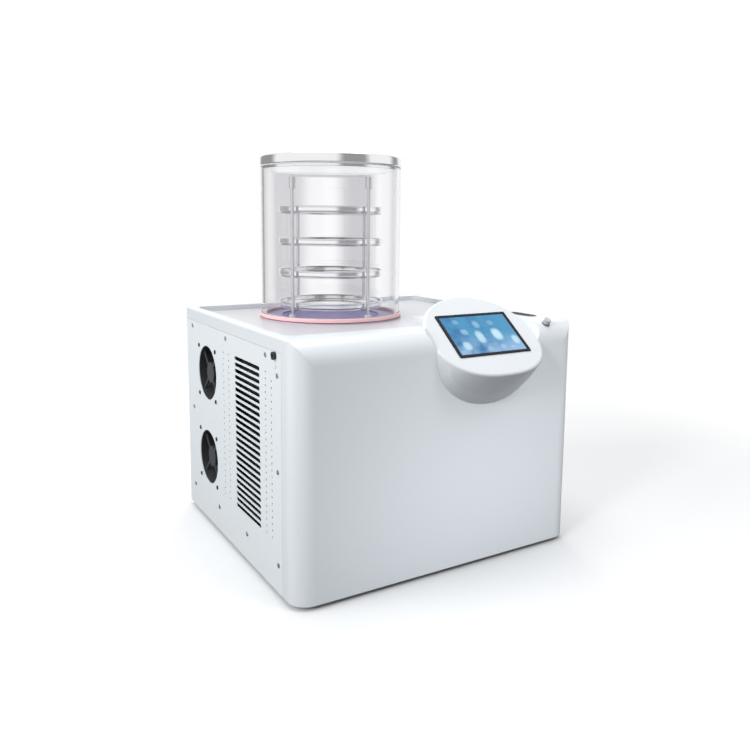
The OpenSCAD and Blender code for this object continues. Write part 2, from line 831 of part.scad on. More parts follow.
module rack_frame() {
    rear_top_z = tray_z1 + 3 * tray_pitch + 2;
    color("silver") {
        at_posts(front_posts, collar_z + 3)
            cylinder(r = post_r, h = rack_top_z - collar_z - 3, $fn = 32);
        at_posts(rear_posts, collar_z + 3)
            cylinder(r = post_r, h = rear_top_z - collar_z - 3, $fn = 32);
        for (i = [0:3]) {
            at_chamber(tray_z1 - hoop_t + i * tray_pitch) ring(hoop_out_r, hoop_in_r, hoop_t);
            at_posts(concat(front_posts, rear_posts), tray_z1 - hoop_t + i * tray_pitch)
                translate([hoop_out_r - 3 - rack_r, -4, 0.5])
                    cube([rack_r - hoop_out_r + 3, 8, hoop_t - 1]);
        }
    }
}

// two sleeves on the front posts and a bar between them
module rack_handle() {
    sleeve_h = 18;
    reach = rack_r * cos(post_spread / 2);     // from the chamber's axis to the bar
    span = 2 * rack_r * sin(post_spread / 2);
    color("silver")
    difference() {
        union() {
            at_posts(front_posts, rack_top_z - sleeve_h)
                cylinder(r = post_r + 3, h = sleeve_h + 6, $fn = 32);
            at_chamber(rack_top_z + 5) rotate([0, 0, rack_turn + 180 + post_spread / 2])
                translate([reach - 6, -span / 2 - 4, 0]) cube([12, span + 8, 4]);
        }
        at_posts(front_posts, rack_top_z - sleeve_h - 1)
            cylinder(r = post_r + 0.1, h = sleeve_h + 1, $fn = 32);
    }
}

module rack_foot() {
    difference() {
        cylinder(r1 = foot_sleeve_r + 1, r2 = foot_sleeve_r, h = 9, $fn = 32);
        translate([0, 0, 3]) cylinder(r = post_r + 0.1, h = 9, $fn = 32);
    }
}

module rack_feet() {
    color("white") at_posts(concat(front_posts, rear_posts), collar_z) rack_foot();
}

module tray(i) {
    color("silver") at_chamber(tray_z1 + (i - 1) * tray_pitch)
        rotate_extrude($fn = 96) polygon([[0, 0], [tray_d / 2 - 3, 0], [tray_d / 2, 3],
            [tray_d / 2, tray_h], [tray_d / 2 - tray_t, tray_h], [tray_d / 2 - tray_t, 3.4],
            [tray_d / 2 - 3.4, tray_t], [0, tray_t]]);
}

module tray_1() { tray(1); }
module tray_2() { tray(2); }
module tray_3() { tray(3); }
module tray_4() { tray(4); }

// ---------- screen ----------

module screen_bezel() {
    color("black") on_face()
    difference() {
        union() {
            linear_extrude(bezel_t)
                rounded_plan(-screen_w / 2, -screen_h / 2, screen_w / 2, screen_h / 2, [3, 3, 3, 3]);
            translate([-screen_w / 2 + 4, -screen_h / 2 + 4, -module_d])
                cube([screen_w - 8, screen_h - 8, module_d + eps]);
        }
        translate([-screen_w / 2 + bezel_border, -screen_h / 2 + bezel_border, bezel_t - 2.5])
            cube([screen_w - 2 * bezel_border, screen_h - 2 * bezel_border, 10]);
        translate([-screen_w / 2 + 8, -screen_h / 2 + 8, -module_d - 1])
            cube([screen_w - 16, screen_h - 16, module_d - 2]);
    }
}

module screen_glass() {
    color("steelblue") on_face()
        translate([-screen_w / 2 + bezel_border + fit, -screen_h / 2 + bezel_border + fit,
                bezel_t - 2.5])
            cube([screen_w - 2 * (bezel_border + fit), screen_h - 2 * (bezel_border + fit), 2]);
}

module screen_board() {
    color("darkgreen") on_face()
        translate([-screen_w / 2 + 8 + fit, -screen_h / 2 + 8 + fit, -5])
            cube([screen_w - 16 - 2 * fit, screen_h - 16 - 2 * fit, 2]);
}

// ---------- refrigeration ----------

module compressor() {
    color([0.15, 0.15, 0.16]) translate([comp_x, comp_y, comp_z]) {
        rotate_extrude() polygon([[0, 0], [comp_r - 22, 0], [comp_r - 4, 14], [comp_r, 26],
            [comp_r, comp_h - 60], [comp_r - 6, comp_h - 34], [comp_r - 22, comp_h - 14],
            [comp_r - 46, comp_h - 2], [0, comp_h]]);
        translate([-comp_r - 25, -comp_r + 8, -comp_plate_t])
            cube([2 * comp_r + 50, 2 * comp_r - 16, comp_plate_t + eps]);
        translate([-comp_r - 20, -60, comp_out_z - comp_z]) x_rod(pipe_r, 60);
        translate([-20, -comp_r - 20, comp_in_z - comp_z]) y_rod(pipe_r, 60);
    }
}

module compressor_grommets() {
    color("black") translate([comp_x, comp_y, pan_top_z])
        for (x = [-1, 1]) for (y = [-1, 1])
            translate([x * (comp_r + 10), y * (comp_r - 24), 0]) cylinder(r = 13, h = grommet_h);
}

function cond_x(part) = cond_x1 + part * (cond_x2 - cond_x1);
function cond_y(part) = cond_y1 + part * (cond_y2 - cond_y1);

module condenser_coil() {
    tube_z = cond_cool_z - 2;
    color([0.2, 0.21, 0.22]) {
        for (y = [cond_y1, cond_y2 - cond_plate_t])
            translate([cond_x1, y, pan_top_z])
                cube([cond_x2 - cond_x1, cond_plate_t, cond_top_z - pan_top_z]);
        for (i = [0:fin_count - 1])
            translate([cond_x1, cond_y1 + 1, cond_cool_z + 4 + i * fin_pitch])
                cube([cond_x2 - cond_x1, cond_y2 - cond_y1 - 2, 1]);
        for (x = cond_cols) for (y = cond_rows) translate([cond_x(x), cond_y(y), tube_z])
            cylinder(r = pipe_r, h = cond_top_z - 5 - tube_z);
        for (e = [[cond_rows[2], cond_hot_z], [cond_rows[0], cond_cool_z]])
            translate([cond_x(cond_cols[1]), cond_y(e[0]), e[1]])
                x_rod(pipe_r, cond_x2 + cond_lead - cond_x(cond_cols[1]));
    }
}

cond_hot = [cond_x2 + cond_lead, cond_y(cond_rows[2]), cond_hot_z];
cond_cool = [cond_x2 + cond_lead, cond_y(cond_rows[0]), cond_cool_z];
comp_out = [comp_x - comp_r - 20, comp_y - 60, comp_out_z];
comp_in = [comp_x - 20, comp_y - comp_r - 20, comp_in_z];
drier_x1 = cond_cool[0] + 60;
drier_len = 100;
tail_in = [chamber_x + tail_x, foam_front_y - 1, tail_z(1)];
tail_out = [chamber_x - tail_x, foam_front_y - 1, tail_z(-1)];

module discharge_pipe() {
    color("peru") pipe_run([comp_out, [run_x, comp_out[1], comp_out[2]],
        [run_x, cond_hot[1], comp_out[2]], [run_x, cond_hot[1], cond_hot[2]], cond_hot],
        pipe_r, pipe_bend);
}

module filter_drier() {
    color("goldenrod") translate([drier_x1, cond_cool[1], cond_cool[2]])
        rotate([0, 90, 0]) rotate_extrude() polygon([[0, 0], [6, 0], [6, 6], [18, 16],
            [18, drier_len - 16], [6, drier_len - 6], [6, drier_len], [0, drier_len]]);
}

module liquid_pipe() {
    start = [drier_x1 + drier_len, cond_cool[1], cond_cool[2]];
    color("peru") {
        pipe_run([cond_cool, [drier_x1, cond_cool[1], cond_cool[2]]], liquid_r, liquid_bend);
        pipe_run([start, [tail_in[0], start[1], start[2]], [tail_in[0], start[1], tail_in[2]],
            tail_in], liquid_r, liquid_bend);
    }
}

module suction_pipe() {
    run_y = foam_front_y - 18;
    color("peru") pipe_run([comp_in, [comp_in[0], run_y, comp_in[2]],
        [tail_out[0], run_y, comp_in[2]], [tail_out[0], run_y, tail_out[2]], tail_out],
        pipe_r, pipe_bend);
}

// ---------- vacuum port and drain ----------

module vacuum_pipe() {
    color("silver") translate([chamber_x, port_joint_y, port_z])
    difference() {
        union() {
            y_rod(port_flange_r, port_flange_t);
            y_rod(port_r, back_y + port_reach - port_joint_y);
            translate([0, back_y + port_reach - port_joint_y - port_flange_t, 0])
                y_rod(port_flange_r, port_flange_t);
        }
        translate([0, -1, 0]) y_rod(port_bore_d / 2, back_y + port_reach - port_joint_y + 2);
    }
}

module vacuum_clamp() {
    color("gray") translate([chamber_x, port_joint_y - port_flange_t, port_z])
        rotate([-90, 0, 0]) ring(port_flange_r + 5, port_flange_r + fit, 2 * port_flange_t);
}

module drain_pipe() {
    z = drain_end_z;
    color("white")
    difference() {
        pipe_run([[chamber_x, chamber_y, z], [chamber_x, chamber_y, drain_z],
            [chamber_x, back_y + 2, drain_z]], drain_r, drain_bend);
        pipe_run([[chamber_x, chamber_y, z + 1], [chamber_x, chamber_y, drain_z],
            [chamber_x, back_y + 3, drain_z]], drain_bore_r, drain_bend);
    }
}

module drain_valve() {
    color("silver") translate([drain_out_x, back_y + 2, drain_z])
    difference() {
        union() {
            rotate([-90, 0, 0]) cylinder(r = 12, h = 8, $fn = 6);
            translate([0, 16, 0]) sphere(11);
            rotate([-90, 0, 0]) translate([0, 0, 18]) cylinder(r = 8, h = 24);
            translate([0, 16, 0]) cylinder(r = 5, h = 15);
        }
        translate([0, -1, 0]) y_rod(drain_bore_r, 60);
        translate([0, 16, 9]) cylinder(r = 2 + run_fit, h = 12);
    }
}

module drain_lever() {
    color("red") translate([drain_out_x, back_y + 18, drain_z]) {
        translate([0, 0, 10]) cylinder(r = 2, h = 8);
        translate([0, 0, 15 + fit]) cylinder(r = 6, h = 3);
        translate([0, -4, 15 + fit]) cube([26, 8, 2]);
    }
}

// ---------- electrics ----------

module electrics_bracket() {
    color("silver") translate([bracket_x, bracket_y, pan_top_z]) {
        cube([bracket_size[0], bracket_size[1], bracket_t]);
        cube([bracket_t, bracket_size[1], bracket_size[2]]);
    }
}

module power_supply() {
    vent_h = supply_size[2] / 3;
    color("gray") translate([bracket_x + supply_inset[0], bracket_y + supply_inset[1], pan_top_z + bracket_t])
    difference() {
        cube(supply_size);
        for (i = [0:supply_vents - 1])
            translate([-1, 12 + i * supply_vent_pitch, vent_h]) cube([10, 5, vent_h]);
    }
}

module board_standoffs() {
    color("gold")
    for (y = [hole_inset, board_size[0] - hole_inset]) for (z = [hole_inset, board_size[1] - hole_inset])
        translate([bracket_x + bracket_t, bracket_y + board_gap + y, board_z + z])
            x_rod(3, standoff_len, $fn = 24);
}

module control_board() {
    part_x = board_t - eps;                // the board's parts stand on its right face
    color("darkgreen")
    translate([bracket_x + bracket_t + standoff_len, bracket_y + board_gap, board_z]) {
        cube([board_t, board_size[0], board_size[1]]);
        translate([part_x, relay_at[0], relay_at[1]]) cube(relay_size);
        translate([part_x, chip_at[0], chip_at[1]]) cube(chip_size);
        translate([part_x, header_at[0], header_at[1]]) cube(header_size);
    }
}

// ---------- small fittings ----------

// puts its children on the rounded front top edge at the right
module knob_place() {
    translate([knob_x, front_y + front_r, rim_z - front_r]) rotate([knob_turn, 0, 0])
        translate([0, 0, front_r]) children();
}

module vent_valve() {
    color("dimgray") knob_place()
    difference() {
        union() {
            cylinder(r = 8, h = 1.5);
            translate([0, 0, -26]) cylinder(r = 5, h = 26 + eps);
            translate([0, 0, -30]) cylinder(r = 9, h = 22 - cover_t);
        }
        translate([0, 0, -12]) cylinder(r = 2 + run_fit, h = 20);
    }
}

module vent_knob() {
    color("gray") knob_place() {
        translate([0, 0, -11]) cylinder(r = 2, h = 14);
        translate([0, 0, 1.5 + fit]) difference() {
            cylinder(r = 7, h = 9);
            for (a = [0:30:330]) rotate([0, 0, a]) translate([7.4, 0, 1.5])
                cylinder(r = 0.9, h = 9, $fn = 16);
        }
    }
}

module grip_plan(g) {
    square([22 + 2 * g, 52], center = true);
    for (s = [-1, 1]) translate([0, s * 26]) circle(11 + g);
}

module grip_place() {
    translate([side_x - 38, front_y + 122, rim_z]) children();
}

module grip_insert() {
    color("dimgray") grip_place()
    difference() {
        union() {
            translate([0, 0, -16]) linear_extrude(16 + eps) grip_plan(0);
            linear_extrude(1) grip_plan(2.5);
        }
        translate([0, 0, -14]) linear_extrude(20) grip_plan(-2);
    }
}

module service_place() {
    translate([-side_x, front_y + 80, low_z + body_h - 33]) rotate([0, -90, 0]) children();
}

module service_port() {
    color("black") service_place()
    difference() {
        union() {
            cylinder(r = 7, h = 5);
            translate([0, 0, -12]) cylinder(r = 5, h = 12 + eps);
        }
        translate([0, 0, -13]) cylinder(r = 2.5, h = 20);
    }
}

module plug_place() {
    translate([-side_x, front_y + 80, low_z + body_h - 50]) rotate([0, -90, 0]) children();
}

module hole_plug() {
    color("white") plug_place() {
        cylinder(r = 5.5, h = 1);
        translate([0, 0, -panel_t]) cylinder(r = 3.5, h = panel_t + eps);
    }
}

module power_inlet() {
    y = back_y - rear_in;
    color("black") translate([inlet_x, y, inlet_z])
    difference() {
        union() {
            translate([-24, 0, -12]) cube([48, 2.5, 24]);
            translate([-13.7, -20, -10]) cube([27.4, 20 + eps, 20]);
        }
        translate([-12, -17, -8]) cube([24, 30, 16]);
    }
}

module inlet_pins() {
    color("silver") translate([inlet_x, back_y - rear_in - 17, inlet_z])
        for (p = [[-7, -2], [7, -2], [0, 2]])
            translate([p[0] - 1, 0, p[1] - 2]) cube([2, 11, 4]);
}

module switch_housing() {
    y = back_y - rear_in;
    color("black") translate([inlet_x, y, switch_z])
    difference() {
        union() {
            translate([-15, 0, -11.5]) cube([30, 2, 23]);
            translate([-13, -18, -9.5]) cube([26, 18 + eps, 19]);
        }
        translate([-11, -15, -7.5]) cube([22, 30, 15]);
        translate([0, -4, 0]) translate([0, 0, -9]) cylinder(r = 2 + run_fit, h = 18);
    }
}

module switch_rocker() {
    color("firebrick") translate([inlet_x, back_y - rear_in - 4, switch_z])
        rotate([0, 0, -switch_throw / 2]) {
            translate([0, 0, -8.9]) cylinder(r = 2, h = 17.8);
            difference() {
                intersection() {
                    translate([0, 0, -7]) cylinder(r = 10.2, h = 14);
                    translate([-11, -4, -8]) cube([22, 14, 16]);
                }
                translate([0, 41, -9]) cylinder(r = 32, h = 20);
            }
        }
}

base_pan();
rubber_feet();
frame_posts();
side_rails();
outer_cover();
pod_shell();
left_panel();
right_panel();
rear_panel();
side_screws();
rear_screws();
fan_screws();
fan_frame_upper();
fan_frame_lower();
fan_rotor_upper();
fan_rotor_lower();
cold_trap();
trap_port();
trap_collar();
trap_foam();
evaporator_coil();
base_gasket();
chamber_cylinder();
chamber_lid();
lid_seal();
rack_frame();
rack_handle();
rack_feet();
tray_1();
tray_2();
tray_3();
tray_4();
screen_bezel();
screen_glass();
screen_board();
compressor();
compressor_grommets();
condenser_coil();
filter_drier();
discharge_pipe();
liquid_pipe();
suction_pipe();
vacuum_pipe();
vacuum_clamp();
drain_pipe();
drain_valve();
drain_lever();
electrics_bracket();
power_supply();
board_standoffs();
control_board();
vent_valve();
vent_knob();
grip_insert();
service_port();
hole_plug();
power_inlet();
inlet_pins();
switch_housing();
switch_rocker();
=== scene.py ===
import json
import math
import bmesh
import bpy
from mathutils import Matrix, Vector


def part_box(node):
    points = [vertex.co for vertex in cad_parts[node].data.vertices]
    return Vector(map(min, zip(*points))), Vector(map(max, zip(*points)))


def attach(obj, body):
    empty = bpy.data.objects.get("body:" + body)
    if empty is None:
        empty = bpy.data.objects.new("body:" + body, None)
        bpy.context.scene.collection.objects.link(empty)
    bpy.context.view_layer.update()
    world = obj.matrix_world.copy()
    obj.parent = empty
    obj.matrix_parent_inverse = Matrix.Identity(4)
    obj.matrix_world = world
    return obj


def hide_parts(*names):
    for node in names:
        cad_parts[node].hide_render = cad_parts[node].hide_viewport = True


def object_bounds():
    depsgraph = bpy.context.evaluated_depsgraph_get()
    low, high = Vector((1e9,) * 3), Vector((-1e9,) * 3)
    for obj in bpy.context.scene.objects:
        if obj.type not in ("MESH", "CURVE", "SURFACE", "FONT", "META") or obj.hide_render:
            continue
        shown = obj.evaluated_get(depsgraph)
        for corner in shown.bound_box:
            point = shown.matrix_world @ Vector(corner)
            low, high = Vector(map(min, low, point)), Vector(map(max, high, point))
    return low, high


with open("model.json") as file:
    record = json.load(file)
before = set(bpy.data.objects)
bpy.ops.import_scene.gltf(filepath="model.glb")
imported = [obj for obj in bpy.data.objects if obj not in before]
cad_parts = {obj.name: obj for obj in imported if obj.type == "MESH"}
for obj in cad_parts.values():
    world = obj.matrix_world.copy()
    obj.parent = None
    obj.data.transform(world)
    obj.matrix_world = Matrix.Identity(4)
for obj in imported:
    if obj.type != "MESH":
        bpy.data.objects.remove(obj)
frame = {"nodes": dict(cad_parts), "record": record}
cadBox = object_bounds()
cadNodes = frame["nodes"]
slotOf = {part["node"]: part["material_slot"] for part in frame["record"]["subparts"]}
bodyOf = {name: body for body, names in frame["record"]["behaviour"]["bodies"].items()
          for name in names}
mm = 0.001
print("frame loaded,", len(cadNodes), "nodes")

# three quarters from the left, a little above the middle
cameraLook = {
    "place": (-0.7915, -1.3331, 0.6493),   # metres
    "turn": 31.02,                         # degrees from +Y towards +X
    "tilt": 7.46,                          # degrees downwards
    "roll": 0.53,
    "lens": 34.97,                         # millimetres, on the sensor's width
    "sensor": 36,
    "shiftUp": -0.0733,
    "clip": (0.02, 60),
}


def addObject(name, data):
    item = bpy.data.objects.new(name, data)
    bpy.context.scene.collection.objects.link(item)
    return item


def makeCamera(look):
    turn, tilt = math.radians(look["turn"]), math.radians(look["tilt"])
    ahead = Vector((math.sin(turn) * math.cos(tilt), math.cos(turn) * math.cos(tilt),
                    -math.sin(tilt)))
    data = bpy.data.cameras.new("camera")
    data.sensor_width = look["sensor"]
    data.lens = look["lens"]
    data.shift_y = look["shiftUp"]
    data.clip_start, data.clip_end = look["clip"]
    camera = addObject("camera", data)
    roll = Matrix.Rotation(math.radians(look["roll"]), 3, "Z")
    facing = ahead.to_track_quat("-Z", "Y").to_matrix() @ roll
    camera.matrix_world = Matrix.Translation(look["place"]) @ facing.to_4x4()
    bpy.context.scene.camera = camera


makeCamera(cameraLook)
print("camera set")

# by the length of a starting value, and by the name of an output
startKinds = {1: "NodeSocketFloat", 3: "NodeSocketVector", 4: "NodeSocketColor"}
outputKinds = {"Color": "NodeSocketColor", "Roughness": "NodeSocketFloat",
               "Height": "NodeSocketFloat", "Normal": "NodeSocketVector"}


def addNode(tree, kind, values=None, **settings):
    node = tree.nodes.new(kind)
    for name, value in settings.items():
        setattr(node, name, value)
    feed(tree, node, values or {})
    return node


def feed(tree, node, values):
    # a value is a plain number or colour, or the socket it comes from
    for name, value in values.items():
        if isinstance(value, bpy.types.NodeSocket):
            tree.links.new(value, node.inputs[name])
        elif value is not None:
            node.inputs[name].default_value = value


def calc(tree, operation, first, second=None, third=None, clamp=False):
    values = {0: first, 1: second, 2: third}
    return addNode(tree, "ShaderNodeMath", values, operation=operation, use_clamp=clamp).outputs[0]


def vectorCalc(tree, operation, first, second=None, output="Vector"):
    values = {0: first, 1: second}
    return addNode(tree, "ShaderNodeVectorMath", values, operation=operation).outputs[output]


def blendColour(tree, share, first, second, mode="MIX"):
    node = addNode(tree, "ShaderNodeMix", data_type="RGBA", blend_type=mode)
    feed(tree, node, {0: share, 6: first, 7: second})
    return node.outputs[2]


def easeBetween(tree, value, low, high):
    # 0 at low, 1 at high, smooth in between
    values = {"Value": value, "From Min": low, "From Max": high}
    return addNode(tree, "ShaderNodeMapRange", values,
                   interpolation_type="SMOOTHSTEP").outputs["Result"]


def noise(tree, place, scale, detail=3.0, rough=0.5):
    values = {"Vector": place, "Scale": scale, "Detail": detail, "Roughness": rough}
    return addNode(tree, "ShaderNodeTexNoise", values).outputs[0]


def objectPlace(tree):
    return addNode(tree, "ShaderNodeTexCoord").outputs["Object"]


def partsOf(tree, vector):
    return addNode(tree, "ShaderNodeSeparateXYZ", {0: vector}).outputs


def surfaceUp(tree):
    return partsOf(tree, addNode(tree, "ShaderNodeNewGeometry").outputs["Normal"])["Z"]


def reshade(tree, colour, lean, amount):
    # the colour lighter or darker by lean, a value about zero
    gain = calc(tree, "MULTIPLY_ADD", lean, amount, 1.0)
    node = addNode(tree, "ShaderNodeHueSaturation", {"Value": gain, "Color": colour})
    return node.outputs["Color"]


def startGroup(name, inputs, outputs):
    group = bpy.data.node_groups.new(name, "ShaderNodeTree")
    for label, start in inputs.items():
        kind = startKinds[len(start) if isinstance(start, tuple) else 1]
        socket = group.interface.new_socket(name=label, in_out="INPUT", socket_type=kind)
        socket.default_value = start
    for label in outputs:
        group.interface.new_socket(name=label, in_out="OUTPUT", socket_type=outputKinds[label])
    enter = addNode(group, "NodeGroupInput")
    leave = addNode(group, "NodeGroupOutput")
    return group, enter.outputs, leave


def useGroup(tree, group, values):
    node = addNode(tree, "ShaderNodeGroup")
    node.node_tree = group
    feed(tree, node, values)
    return node.outputs


skinOutputs = ("Color", "Roughness")
driftLook = {"broadDetail": 4.0, "finer": 9.0, "fineDetail": 3.0, "fineRough": 0.6}


def makeToneDrift(look):
    group, given, leave = startGroup("toneDrift", {
        "Color": (0.8, 0.8, 0.8, 1), "Amount": 0.03, "Scale": 6.0, "Roughness": 0.4,
        "Roughness Drift": 0.06}, skinOutputs)
    place = objectPlace(group)
    broad = calc(group, "SUBTRACT", noise(group, place, given["Scale"], look["broadDetail"]), 0.5)
    fineScale = calc(group, "MULTIPLY", given["Scale"], look["finer"])
    fine = noise(group, place, fineScale, look["fineDetail"], look["fineRough"])
    shade = reshade(group, given["Color"], broad, calc(group, "MULTIPLY", given["Amount"], 2.0))
    wander = calc(group, "SUBTRACT", calc(group, "ADD", broad, fine), 0.5)
    gloss = calc(group, "MULTIPLY_ADD", wander, given["Roughness Drift"], given["Roughness"],
                 clamp=True)
    feed(group, leave, {"Color": shade, "Roughness": gloss})
    return group


grainLook = {"detail": 2.0, "coarser": 0.12}


def makeSurfaceGrain(look):
    group, given, leave = startGroup("surfaceGrain", {
        "Scale": 800.0, "Coarse Share": 0.4, "Height": 1.0}, ("Height",))
    place = objectPlace(group)
    fine = noise(group, place, given["Scale"], look["detail"])
    coarseScale = calc(group, "MULTIPLY", given["Scale"], look["coarser"])
    coarse = noise(group, place, coarseScale, look["detail"])
    share = calc(group, "MULTIPLY", coarse, given["Coarse Share"])
    height = calc(group, "MULTIPLY", calc(group, "ADD", fine, share), given["Height"])
    feed(group, leave, {"Height": height})
    return group


wearLook = {"samples": 4, "edge": (0.02, 0.22), "patchScale": 90.0, "patchDetail": 4.0,
            "patchRough": 0.65, "patch": (0.35, 0.7)}


def makeEdgeWear(look):
    group, given, leave = startGroup("edgeWear", {
        "Color": (0.8, 0.8, 0.8, 1), "Worn Color": (0.9, 0.9, 0.9, 1), "Radius": 0.001,
        "Amount": 0.3}, ("Color", "Normal"))
    soft = addNode(group, "ShaderNodeBevel", {"Radius": given["Radius"]}, samples=look["samples"])
    plain = addNode(group, "ShaderNodeNewGeometry")
    meet = vectorCalc(group, "DOT_PRODUCT", soft.outputs["Normal"], plain.outputs["Normal"],
                      "Value")
    edge = easeBetween(group, calc(group, "SUBTRACT", 1.0, meet), *look["edge"])
    patches = noise(group, objectPlace(group), look["patchScale"], look["patchDetail"],
                    look["patchRough"])
    worn = calc(group, "MULTIPLY", edge, easeBetween(group, patches, *look["patch"]))
    worn = calc(group, "MULTIPLY", worn, given["Amount"], clamp=True)
    feed(group, leave, {"Color": blendColour(group, worn, given["Color"], given["Worn Color"]),
                        "Normal": soft.outputs["Normal"]})
    return group


dustLook = {"flat": (0.3, 1.0), "speckScale": 240.0, "speckDetail": 5.0, "speckRough": 0.7,
            "speck": (0.45, 0.75), "dulling": 0.4}


def makeSettledDust(look):
    group, given, leave = startGroup("settledDust", {
        "Color": (0.8, 0.8, 0.8, 1), "Dust Color": (0.55, 0.53, 0.5, 1), "Roughness": 0.4,
        "Amount": 0.1}, skinOutputs)
    flat = easeBetween(group, surfaceUp(group), *look["flat"])
    specks = noise(group, objectPlace(group), look["speckScale"], look["speckDetail"],
                   look["speckRough"])
    share = calc(group, "MULTIPLY", flat, easeBetween(group, specks, *look["speck"]))
    share = calc(group, "MULTIPLY", share, given["Amount"], clamp=True)
    gloss = calc(group, "MULTIPLY_ADD", share, look["dulling"], given["Roughness"], clamp=True)
    feed(group, leave, {"Color": blendColour(group, share, given["Color"], given["Dust Color"]),
                        "Roughness": gloss})
    return group


def finishLines(group, given, leave, pattern):
    # the tail that brushed and turned lines share: tone, gloss and height from one pattern
    lines = calc(group, "SUBTRACT", pattern, 0.5)
    shade = reshade(group, given["Color"], lines, calc(group, "MULTIPLY", given["Contrast"], 2.0))
    gloss = calc(group, "MULTIPLY_ADD", lines, given["Roughness Drift"], given["Roughness"],
                 clamp=True)
    feed(group, leave, {"Color": shade, "Roughness": gloss, "Height": lines})
    return group


lineOutputs = ("Color", "Roughness", "Height")
brushLook = {"detail": 4.0, "rough": 0.6}
turnLook = {"detail": 3.0, "rough": 0.6, "swing": 0.8}


def makeBrushLines(look):
    group, given, leave = startGroup("brushLines", {
        "Stretch": (8.0, 8.0, 900.0), "Color": (0.7, 0.7, 0.7, 1), "Contrast": 0.12,
        "Roughness": 0.25, "Roughness Drift": 0.15}, lineOutputs)
    stretched = vectorCalc(group, "MULTIPLY", objectPlace(group), given["Stretch"])
    return finishLines(group, given, leave,
                       noise(group, stretched, 1.0, look["detail"], look["rough"]))


def makeTurnedLines(look):
    group, given, leave = startGroup("turnedLines", {
        "Middle": (0.0, 0.0, 0.0), "Color": (0.7, 0.7, 0.7, 1), "Line Scale": 700.0,
        "Contrast": 0.1, "Roughness": 0.15, "Roughness Drift": 0.12}, lineOutputs)
    part = partsOf(group, vectorCalc(group, "SUBTRACT", objectPlace(group), given["Middle"]))
    squares = calc(group, "ADD", calc(group, "MULTIPLY", part["X"], part["X"]),
                   calc(group, "MULTIPLY", part["Y"], part["Y"]))
    out = calc(group, "MULTIPLY", calc(group, "SQRT", squares), given["Line Scale"])
    up = calc(group, "MULTIPLY", part["Z"], given["Line Scale"])
    around = calc(group, "MULTIPLY", calc(group, "ARCTAN2", part["Y"], part["X"]), look["swing"])
    spread = addNode(group, "ShaderNodeCombineXYZ", {"X": out, "Y": up, "Z": around}).outputs[0]
    return finishLines(group, given, leave,
                       noise(group, spread, 1.0, look["detail"], look["rough"]))


spangleLook = {"warpScale": 60.0, "warp": 0.006, "glossSpread": 0.25}


def makeZincSpangle(look):
    group, given, leave = startGroup("zincSpangle", {
        "Color": (0.55, 0.56, 0.57, 1), "Scale": 90.0, "Contrast": 0.2, "Roughness": 0.4},
        skinOutputs)
    place = objectPlace(group)
    swirl = addNode(group, "ShaderNodeTexNoise", {"Vector": place, "Scale": look["warpScale"]})
    shift = addNode(group, "ShaderNodeVectorMath", {
        0: swirl.outputs["Color"], "Scale": look["warp"]}, operation="SCALE").outputs[0]
    bent = vectorCalc(group, "ADD", place, shift)
    flakes = addNode(group, "ShaderNodeTexVoronoi", {"Vector": bent, "Scale": given["Scale"]})
    tone = addNode(group, "ShaderNodeSeparateColor", {0: flakes.outputs["Color"]}).outputs[0]
    lean = calc(group, "SUBTRACT", tone, 0.5)
    shade = reshade(group, given["Color"], lean, given["Contrast"])
    gloss = calc(group, "MULTIPLY_ADD", lean, look["glossSpread"], given["Roughness"], clamp=True)
    feed(group, leave, {"Color": shade, "Roughness": gloss})
    return group


toneDrift = makeToneDrift(driftLook)
surfaceGrain = makeSurfaceGrain(grainLook)
edgeWear = makeEdgeWear(wearLook)
settledDust = makeSettledDust(dustLook)
brushLines = makeBrushLines(brushLook)
turnedLines = makeTurnedLines(turnLook)
zincSpangle = makeZincSpangle(spangleLook)
print("shared effects ready")


def startMaterial(name, fixed):
    material = bpy.data.materials.new(name)
    material.use_nodes = True
    tree = material.node_tree
    shader = tree.nodes["Principled BSDF"]
    feed(tree, shader, fixed)
    return material, tree, shader


def addBump(tree, shader, height, distance, normal=None):
    bump = addNode(tree, "ShaderNodeBump", {"Height": height, "Distance": distance, "Strength": 1.0,
                                            "Normal": normal})
    feed(tree, shader, {"Normal": bump.outputs[0]})


def addGrain(tree, shader, look, normal=None):
    grain = useGroup(tree, surfaceGrain, {"Scale": look["grainScale"]})
    addBump(tree, shader, grain["Height"], look["grainDepth"], normal)


def giveSkin(tree, shader, skin):
    feed(tree, shader, {"Base Color": skin["Color"], "Roughness": skin["Roughness"]})


def driftSkin(tree, colour, look):
    return useGroup(tree, toneDrift, {
        "Color": colour, "Amount": look["drift"], "Scale": look["driftScale"],
        "Roughness": look["roughness"], "Roughness Drift": look["glossDrift"]})


# worn edges and settled dust over a skin; gives the normals of the soft edges
def giveAgedSkin(tree, shader, skin, look):
    wear = useGroup(tree, edgeWear, {
        "Color": skin["Color"], "Worn Color": look["worn"], "Radius": look["edge"],
        "Amount": look["wear"]})
    aged = {"Color": wear["Color"], "Roughness": skin["Roughness"]}
    if "dust" in look:
        aged = useGroup(tree, settledDust, aged | {"Amount": look["dust"]})
    giveSkin(tree, shader, aged)
    return wear["Normal"]


# a moulded, painted or rubber surface
def coatedFinish(name, look):
    material, tree, shader = startMaterial(name, look["fixed"])
    colour = look["colour"]
    # painted shade: the colour darkens towards the part's foot, where it stands on what is under it
    if "footShadeColour" in look:
        up = partsOf(tree, objectPlace(tree))["Z"]
        colour = blendColour(tree, easeBetween(tree, up, look["footFrom"], look["footTo"]),
                             look["footShadeColour"], colour)
    # painted shade: the sunk, upward-facing deck takes the greyer deck colour, standing in for the
    # shade in the recess
    if "sunkDeckShade" in look:
        up = partsOf(tree, objectPlace(tree))["Z"]
        sunk = easeBetween(tree, up, look["panTop"], look["panTop"] - look["panFade"])
        flat = easeBetween(tree, surfaceUp(tree), *look["panFlat"])
        colour = blendColour(tree, calc(tree, "MULTIPLY", sunk, flat), colour, look["sunkDeckShade"])
    normal = giveAgedSkin(tree, shader, driftSkin(tree, colour, look), look)
    addGrain(tree, shader, look, normal)
    return material


